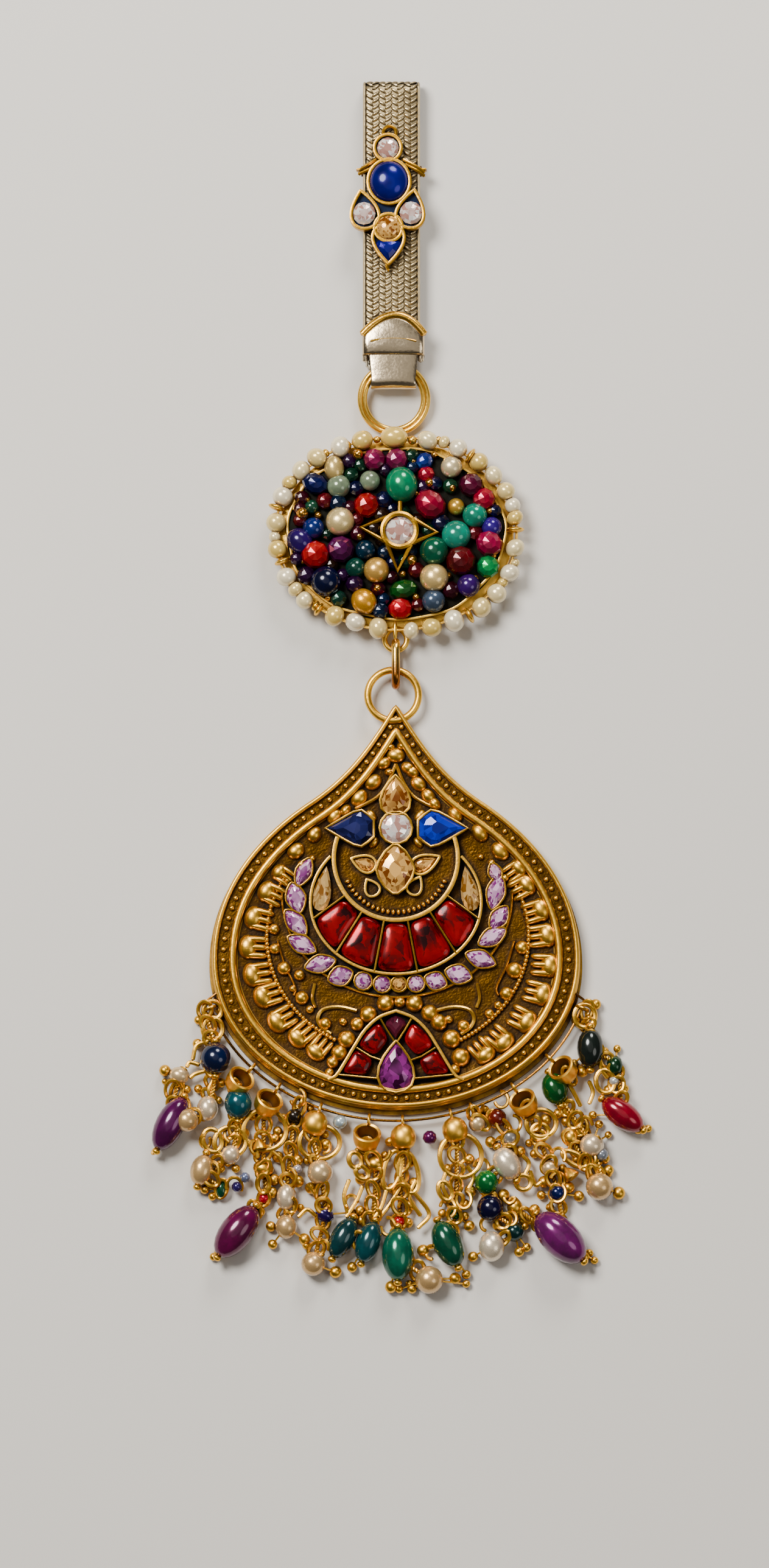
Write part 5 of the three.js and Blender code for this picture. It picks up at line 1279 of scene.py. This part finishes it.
# Name, angle on the rail and cup, then the beads: x, y, width, length, turn, colour and finish.
# The finishes are p pearl, r round glass, c cut glass and g gold; pearls take their colours by turns.
DROPS = [
    ("drop_01", 197, "", [
        (-29.3, -17.9, 5.2, 5.2, 0, "#101C40", "r"), (-30.6, -26.0, 3.5, 4.2, 0, "", "p"),
        (-33.9, -28.0, 3.8, 3.8, 0, "", "p"), (-36.6, -28.5, 4.8, 9.5, -27, "#5A0E50", "r"),
        (-35.2, -20.6, 2.9, 3.4, 80, "", "p")]),
    ("drop_02", 222, "open", [
        (-25.6, -25.2, 4.5, 5.2, 0, "#0F5A66", "r"), (-26.8, -33.5, 3.2, 3.2, 0, "", "p"),
        (-31.5, -36.0, 3.8, 5.2, -15, "", "p"), (-28.3, -39.0, 2.0, 3.2, 0, "#0C4A2E", "r")]),
    ("drop_03", 232.5, "open", [
        (-21.5, -35.7, 2.8, 3.5, 80, "", "g"), (-21.4, -40.5, 2.0, 2.0, 0, "#C01030", "c"),
        (-25.8, -46.0, 5.5, 10.0, -37, "#6A0E48", "r")]),
    ("drop_04", 241, "", [
        (-16.5, -27.2, 2.6, 2.6, 0, "#2A2018", "c"), (-17.8, -40.4, 3.2, 4.4, 0, "", "p"),
        (-17.8, -45.2, 3.5, 4.0, 0, "", "p")]),
    ("drop_05", 247, "dome", [
        (-12.3, -36.4, 4.2, 4.2, 0, "", "p"), (-11.6, -43.2, 2.6, 3.4, 60, "#2A1060", "c"),
        (-13.4, -51.2, 4.0, 4.0, 0, "", "p")]),
    ("drop_06", 262, "open", [
        (-3.3, -35.0, 2.8, 3.2, 80, "", "g"), (-4.5, -47.7, 4.0, 7.0, -18, "#0E4C52", "r"),
        (-8.6, -47.0, 4.0, 7.2, -27, "#123E42", "r")]),
    ("drop_07", 272, "dome", [
        (0.5, -44.3, 2.2, 2.2, 0, "#C0101C", "r"), (0.3, -49.7, 5.2, 8.6, 0, "#0A6A50", "r"),
        (5.4, -53.8, 4.6, 4.6, 0, "", "p")]),
    ("drop_08", 286.5, "dome", [
        (9.6, -43.0, 1.8, 2.4, 30, "#126A34", "c"), (8.4, -48.0, 4.8, 8.0, 24, "#085038", "r")]),
    ("drop_09", 293, "", [
        (13.2, -28.4, 2.9, 2.9, 0, "", "p"), (16.4, -27.5, 3.2, 3.2, 0, "#6E1F14", "r"),
        (18.6, -30.6, 3.0, 3.0, 0, "#BDB6B0", "c"), (18.0, -35.0, 4.3, 5.8, 30, "", "p"),
        (14.7, -38.0, 4.0, 4.2, 0, "#0A8A3C", "c"), (15.3, -42.2, 4.4, 4.4, 0, "#0E0A34", "r"),
        (19.2, -46.0, 3.4, 3.4, 0, "#0A3030", "c"), (15.5, -48.4, 4.3, 5.0, 0, "", "p")]),
    ("drop_10", 307.5, "open", [
        (25.0, -35.7, 3.0, 3.0, 0, "", "p"), (26.2, -39.7, 3.0, 3.0, 0, "#0C1C5A", "c"),
        (26.6, -47.0, 6.2, 10.5, 45, "#702466", "r"), (19.3, -42.0, 2.6, 2.8, 0, "", "g")]),
    ("drop_11", 322.5, "open", [
        (25.8, -22.8, 4.2, 5.4, 20, "#0A5A22", "r"), (31.8, -32.0, 4.0, 4.0, 0, "", "p"),
        (33.0, -38.7, 4.5, 4.5, 0, "", "p"), (28.4, -30.7, 2.6, 3.0, 0, "", "g")]),
    ("drop_12", 343, "", [
        (31.6, -16.2, 4.4, 6.6, 0, "#1A221E", "r"), (35.6, -19.0, 2.8, 3.4, 0, "#123C20", "c"),
        (36.8, -27.0, 4.4, 8.0, 53, "#9A0626", "r")]),
]
RAISED = {(-33.9, -28.0): 3.2}
PEARL_TINTS = ["#E4CFB2", "#ECDCC6", "#DAC0A0", "#F2E6D4"]
LONG_BEAD = 5


def end_grains(row):
    """A gold grain at each end of a bead."""
    x, y, z, _, long, _, turn = row
    a = np.radians(turn)
    reach = long / 2 + 0.3
    return [(x - s * np.sin(a) * reach, y + s * np.cos(a) * reach, z, 1.4, 1.1, 1.4, turn) for s in (1, -1)]


BEAD_FINISHES = (("p", warm_nacre, smooth_ball), ("r", polished_bead, smooth_ball), ("c", cut_bead, cut_ball))
places, routes = [], []
for name, angle, cup, beads in DROPS:
    hang, out = rail_point(angle)
    upright = np.cross(out, (0, 0, 1))
    turn = full_turn(20)[:, None]
    loop = hang + 0.15 * out + LOOP_RADIUS * (np.cos(turn) * out + np.sin(turn) * np.array([0, 0, 1]))
    gold, cups, shade_shells = [sweep(loop, 0.25, sides=8, loop=True, up=upright)], [], []
    route = [hang + 1.0 * out]
    if cup:
        profile, foot_z, lift = CUPS[cup]
        mouth = -out + [0, 0, lift]
        foot = hang + CUP_REACH * out
        foot[2] = foot_z
        cups.append(lathe(profile, foot, mouth))
        # Open cups get the dark shell of painted shade inside.
        shade_shells += [lathe(CUP_SHADE_SHELL, foot, mouth)] if cup == "open" else []
        route = [foot - 0.3 * out]
    rows = [
        (x, y, RAISED.get((x, y), wide / 2 + 0.05), wide, long, wide, turn)
        for x, y, wide, long, turn, _, _ in beads
    ]
    marks = [bead[6] for bead in beads]
    colours = [bead[5] or PEARL_TINTS[i % 4] for i, bead in enumerate(beads)]
    route += [np.array(row[:3]) for row in rows]
    gold += twist(route)
    ends = [grain for row in rows if row[4] > LONG_BEAD for grain in end_grains(row)]
    if ends:
        gold.append(set_down(lobe_ball, ends))
    lots = []
    for mark, material, shape in BEAD_FINISHES:
        chosen = [i for i, own in enumerate(marks) if own == mark]
        if chosen:
            like = set_down(shape, [rows[i] for i in chosen])
            lots.append((material, [tinted(like, [colours[i] for i in chosen])]))
    golden = [row for row, mark in zip(rows, marks) if mark == "g"]
    if golden:
        gold.append(set_down(lobe_ball, golden))
    lots += [(fringe_gold, gold), (cup_gold, cups), (painted_cup_shade, shade_shells)]
    lots = [(material, shapes) for material, shapes in lots if shapes]
    routes.append(route)
    places += rows
    add_piece(f"{name}_beads", lots, [name], 32)

# Rail, rings, hooks, pins and grains of the fringe, all gold: the rail runs under the rim of the pendant.
# Rings and hooks join the beads, grains lie beside them, and a few small cut beads hang between.
rail_gold = metal_finish("rail_gold", "#8A5A1C", "#1E0E03", -0.6, 1.6)
rail_angles = np.linspace(194, 346, 90)
rail = np.array([rail_point(angle)[0] for angle in rail_angles])
rail_ends = np.array([[-28.8, -7.0, RAIL["z"]], [28.8, -7.0, RAIL["z"]]])
rail = np.concatenate([rail_ends[:1], rail, rail_ends[1:]])
# Place, half width, half length and turn.
RINGS = [
    (-21.3, -29.5, 3.5, 3.3, 0), (-12.4, -31.5, 3.3, 2.7, 0), (2.0, -36.4, 1.6, 3.4, 12),
    (10.5, -33.7, 3.4, 3.5, 0), (-0.6, -36.0, 1.4, 3.2, -14), (-26.9, -31.4, 2.6, 2.4, 20),
    (23.6, -28.4, 2.4, 2.2, 0), (23.4, -29.8, 1.4, 1.3, 0), (-29.8, -13.0, 1.6, 1.8, 0),
    (-29.8, -10.0, 1.5, 1.5, 0), (30.7, -10.9, 1.7, 1.9, 0), (20.7, -38.0, 1.2, 1.2, 0),
    (29.0, -34.2, 0.9, 2.2, 60), (-29.8, -31.2, 1.5, 1.9, 20), (-6.6, -34.4, 1.0, 1.3, 20),
    (34.0, -21.6, 1.5, 1.9, 10), (-5.5, -36.4, 0.9, 1.2, 40), (8.0, -39.4, 1.0, 1.6, 25),
]
ring_lines = [
    sweep(raised(turned(oval(a, b, 28), turn, (x, y)), 1.9), 0.42, sides=8, loop=True)
    for x, y, a, b, turn in RINGS
]
HOOKS = [
    [(-30.5, -15.0), (-32.4, -15.8), (-33.0, -18.0)], [(-32.0, -18.9), (-33.4, -18.5), (-34.0, -19.2)],
    [(-31.0, -19.9), (-32.6, -20.4), (-33.4, -21.0)], [(-29.4, -21.0), (-30.4, -23.0), (-29.6, -24.6)],
    [(-38.6, -32.4), (-39.2, -32.8), (-39.5, -33.4)], [(-26.6, -28.0), (-25.8, -29.4), (-27.0, -31.0)],
    [(-24.4, -31.0), (-22.8, -32.2), (-22.4, -34.0)], [(-20.0, -33.0), (-18.6, -34.4), (-18.0, -37.6)],
    [(-14.4, -38.4), (-13.0, -40.0), (-12.4, -42.0)], [(-15.8, -43.6), (-14.4, -42.4), (-13.0, -43.4)],
    [(-7.6, -37.6), (-8.4, -40.2), (-7.8, -43.0)], [(-5.4, -38.6), (-6.4, -41.0), (-8.0, -43.6)],
    [(-1.4, -38.8), (-2.4, -42.0), (-3.8, -44.2)], [(1.0, -38.0), (-0.6, -41.0), (-2.6, -43.6)],
    [(3.2, -37.6), (2.2, -40.4), (4.0, -43.4)], [(0.4, -37.0), (3.6, -40.4), (5.4, -43.2), (3.6, -45.4)],
    [(8.2, -36.0), (7.6, -38.6), (8.8, -41.2)], [(11.6, -35.4), (12.6, -37.2), (11.8, -39.0)],
    [(20.6, -33.6), (21.6, -35.0), (20.8, -37.0)], [(21.8, -36.2), (22.6, -38.4), (23.6, -38.0)],
    [(27.8, -21.6), (29.0, -23.6), (30.0, -25.6)], [(31.4, -21.6), (32.0, -23.4), (31.4, -25.2)],
    [(28.0, -24.6), (27.4, -26.2), (28.6, -27.6)], [(26.2, -25.2), (28.4, -26.8), (29.6, -26.4)],
    [(33.0, -17.4), (33.4, -19.6), (34.4, -21.0)], [(28.6, -27.6), (29.8, -29.6), (31.0, -30.4)],
]
hook_lines = [sweep(raised(smooth(hook, 16), 1.9), 0.36, sides=8) for hook in HOOKS]
DROP_GRAINS = [
    (-37.6, -21.5, 1.0), (-36.6, -28.6, 1.2), (-31.0, -39.1, 1.5), (-29.8, -40.2, 1.4), (-28.4, -35.7, 1.4),
    (-26.0, -35.7, 1.4), (-22.0, -42.7, 1.6), (-28.1, -48.5, 2.2), (-29.6, -50.0, 1.3), (-20.3, -45.1, 1.7),
    (-20.0, -48.0, 1.6), (-14.8, -47.2, 1.9), (-12.4, -42.0, 1.3), (-14.9, -47.1, 1.8), (-9.8, -52.5, 2.0),
    (-7.1, -51.7, 1.7), (-0.8, -54.9, 2.0), (0.5, -55.2, 1.4), (2.2, -54.4, 1.3), (2.6, -55.2, 1.6),
    (4.4, -49.0, 2.0), (9.6, -53.5, 1.9), (11.4, -52.9, 1.5), (11.4, -54.4, 1.3), (12.5, -50.0, 1.7),
    (11.9, -45.0, 1.8), (7.5, -43.0, 1.5), (12.2, -39.5, 1.7), (8.0, -40.7, 1.4), (16.5, -45.0, 1.7),
    (18.0, -43.7, 1.2), (20.6, -44.2, 1.4), (26.7, -43.7, 1.5), (30.6, -50.0, 1.7), (31.4, -49.4, 1.3),
    (32.2, -50.6, 1.3), (20.0, -49.2, 1.7), (21.2, -48.5, 1.5), (23.6, -40.0, 1.5), (25.0, -42.0, 1.4),
    (32.0, -27.0, 1.4), (33.0, -28.5, 1.4), (34.5, -30.2, 1.2), (34.5, -36.0, 1.8), (36.2, -39.7, 2.1),
    (29.7, -40.2, 1.8), (34.0, -16.6, 1.3), (36.0, -16.2, 1.3), (37.2, -22.7, 1.4), (41.0, -29.2, 1.3),
    (39.4, -29.4, 1.5), (29.0, -18.6, 1.4), (30.0, -19.4, 1.2), (15.4, -31.4, 1.9), (-8.6, -46.0, 1.0),
    (-5.4, -43.6, 1.3), (-7.0, -42.8, 1.2),
]
drop_grain_rows = [(x, y, 0.5 * d + 0.1, d, d * 1.05, d, 25 * x) for x, y, d in DROP_GRAINS]
bead_places = np.array(places)[:, :3]


def head_pin(row):
    """A thin wire from a grain to the middle of the bead nearest to it."""
    grain = np.array(row[:3])
    bead = bead_places[np.argmin(np.linalg.norm(bead_places - grain, axis=1))]
    return sweep(np.stack([grain, (grain + bead) / 2, bead]), 0.16, sides=6)


head_pins = [head_pin(row) for row in drop_grain_rows]
chance = np.random.default_rng(5)


def curl(row):
    """An open loop of wire beside a bead: most of a circle, tipped up at one end."""
    start, reach, radius = chance.uniform(0, TAU), chance.uniform(3.6, 5.4), chance.uniform(0.8, 1.35)
    t = start + np.linspace(0, reach, 18)
    x = row[0] + chance.uniform(-1.6, 1.6) + radius * np.cos(t)
    y = row[1] + 0.5 * row[4] + chance.uniform(0.2, 2.4) + 1.2 * radius * np.sin(t)
    z = 1.4 + chance.uniform(0, 1) + 0.6 * np.sin(t + chance.uniform(0, TAU))
    return sweep(np.stack([x, y, z], -1), 0.31, sides=7)


CURLS_BELOW, LINK_STEP = -26, 2.1
curls = [curl(row) for row in places if row[1] < CURLS_BELOW]
bead_reach = np.array([0.25 * (place[3] + place[4]) for place in places])


def clear_of_beads(row):
    """Whether the middle of a grain stands outside every bead, seen from above."""
    apart = np.hypot(bead_places[:, 0] - row[0], bead_places[:, 1] - row[1])
    return bool(np.all(apart > bead_reach + 0.2 * row[3]))


def strand_links(route):
    """Small rings in a row along one strand, with gold grains to both sides of them."""
    line = np.array(route)
    length = np.linalg.norm(np.diff(line, axis=0), axis=1).sum()
    line = evenly(line, max(int(length / LINK_STEP), 2))
    wave = 0.5 * np.sin(np.linspace(0, TAU, 20))[:, None]
    rings, grains = [], []
    for x, y, _ in line:
        z = chance.uniform(1.3, 2.6)
        half_x, half_y = chance.uniform(0.8, 1.2), chance.uniform(1.2, 1.6)
        outline = turned(oval(half_x, half_y, 20), chance.uniform(-60, 60), (x, y))
        rings.append(sweep(raised(outline, z + wave), 0.36, sides=7, loop=True))
        d, side = chance.uniform(1.3, 2.1), chance.choice([-1, 1])
        at = (x + side * chance.uniform(1.2, 2.4), y + chance.uniform(-1, 1), 0.5 * d + 0.1)
        grains.append((*at, d, d, d, 0))
    return rings, [grain for grain in grains if clear_of_beads(grain)]


linked = [strand_links(route) for route in routes]
link_rings = [ring for rings, _ in linked for ring in rings]
link_grains = [grain for _, grains in linked for grain in grains]
# Place, width and colour.
SMALL_BEADS = [
    (-9.1, -28.2, 2.4, "#CFE0E6"), (-24.5, -37.2, 1.8, "#8C98C0"), (-25.8, -38.7, 1.8, "#40307A"),
    (30.5, -27.7, 1.8, "#E6DCD8"), (33.4, -33.5, 2.2, "#9AA0AC"), (35.5, -21.5, 1.8, "#DADAD6"),
    (5.5, -30.7, 2.4, "#6A0E5A"), (-16.0, -35.8, 1.6, "#CFC6D0"),
]
small_rows = [(x, y, 0.8 + 0.5 * d, d, d, d, 20 * x) for x, y, d, _ in SMALL_BEADS]
small_beads = tinted(set_down(cut_ball, small_rows), [bead[3] for bead in SMALL_BEADS])
CONE = [(0, 0.15), (0.4, 0.5), (1.4, 1.1), (2.0, 1.3), (2.2, 1.2), (2.0, 0.5)]
CONES = [
    ((-29.4, -50.0, 1.6), (0.8, 0.9, 0.2)),
    ((27.4, -35.6, 1.7), (0.8, -1, 0.2)),
    ((-22.5, -30.6, 1.7), (0.2, -1, 0.1)),
]
cones = [lathe(CONE, np.array(at), aim) for at, aim in CONES]
add_piece(
    "fringe_wire",
    [
        (rail_gold, [sweep(rail, 0.22, sides=8)]),
        (fringe_gold, [
            *ring_lines, *hook_lines, *cones, *head_pins, *curls, *link_rings,
            set_down(lobe_ball, drop_grain_rows + link_grains),
        ]),
        (cut_bead, [small_beads]),
    ],
    crease=32,
)

# Floor: a plain pale sheet that the jewel lies on. Soft lamps hang over it, the strongest at the upper left.
FLOOR_HALF = 3
LAMP_COLOUR = (1.0, 0.97, 0.92)
ROOM_COLOUR, ROOM_LIGHT = (1.0, 0.95, 0.88, 1.0), 0.07
LAMP_AIM = np.array([0, 0.03, 0])
floor_finish = clouded_finish("pale_floor", 6.0, "#D9D5CE", "#E2DED8", 0.8, 0.1)
floor_mesh = bpy.data.meshes.new("pale_floor")
corners = [(-FLOOR_HALF, -FLOOR_HALF, 0), (FLOOR_HALF, -FLOOR_HALF, 0)]
corners += [(FLOOR_HALF, FLOOR_HALF, 0), (-FLOOR_HALF, FLOOR_HALF, 0)]
floor_mesh.from_pydata(corners, [], [(0, 1, 2, 3)])
floor_mesh.materials.append(floor_finish)
floor = bpy.data.objects.new("pale_floor", floor_mesh)
bpy.context.scene.collection.objects.link(floor)
for name, place, size, power in (
    ("key_lamp", (-0.35, 0.35, 0.7), 0.35, 10.5),
    ("overhead_lamp", (0.0, 0.1, 1.0), 0.9, 0.7),
    ("fill_lamp", (0.5, -0.2, 0.6), 0.4, 1.0),
    ("rim_lamp", (0.15, 0.6, 0.35), 0.25, 3.2),
):
    lamp = bpy.data.lights.new(name, "AREA")
    lamp.shape = "DISK"
    lamp.size = size
    lamp.energy = power
    lamp.color = LAMP_COLOUR
    lamp_object = bpy.data.objects.new(name, lamp)
    lamp_object.location = place
    lamp_object.rotation_mode = "QUATERNION"
    lamp_object.rotation_quaternion = Vector(LAMP_AIM - np.array(place)).to_track_quat("-Z", "Y")
    lamp_object.visible_camera = False
    bpy.context.scene.collection.objects.link(lamp_object)
world = bpy.data.worlds.new("soft_room")
world.use_nodes = True
background = world.node_tree.nodes["Background"]
background.inputs["Color"].default_value = ROOM_COLOUR
background.inputs["Strength"].default_value = ROOM_LIGHT
bpy.context.scene.world = world

# Camera: almost straight above, leaning a little to the fringe so that the lower walls show.
VIEW = {"x": -1.85, "y": 27.2, "high": 256.3, "away": 1200.0, "lean": 6.0}
SENSOR = 36.0
camera = bpy.data.objects.new("camera", bpy.data.cameras.new("camera"))
camera.data.sensor_fit = "VERTICAL"
camera.data.sensor_height = SENSOR
camera.data.lens = SENSOR * VIEW["away"] / VIEW["high"]
view_lean = np.radians(VIEW["lean"])
view_away = VIEW["away"] * MM
view_y = VIEW["y"] * MM - view_away * np.sin(view_lean)
camera.location = (VIEW["x"] * MM, view_y, view_away * np.cos(view_lean))
camera.rotation_euler = (view_lean, 0, 0)
bpy.context.scene.collection.objects.link(camera)
bpy.context.scene.camera = camera
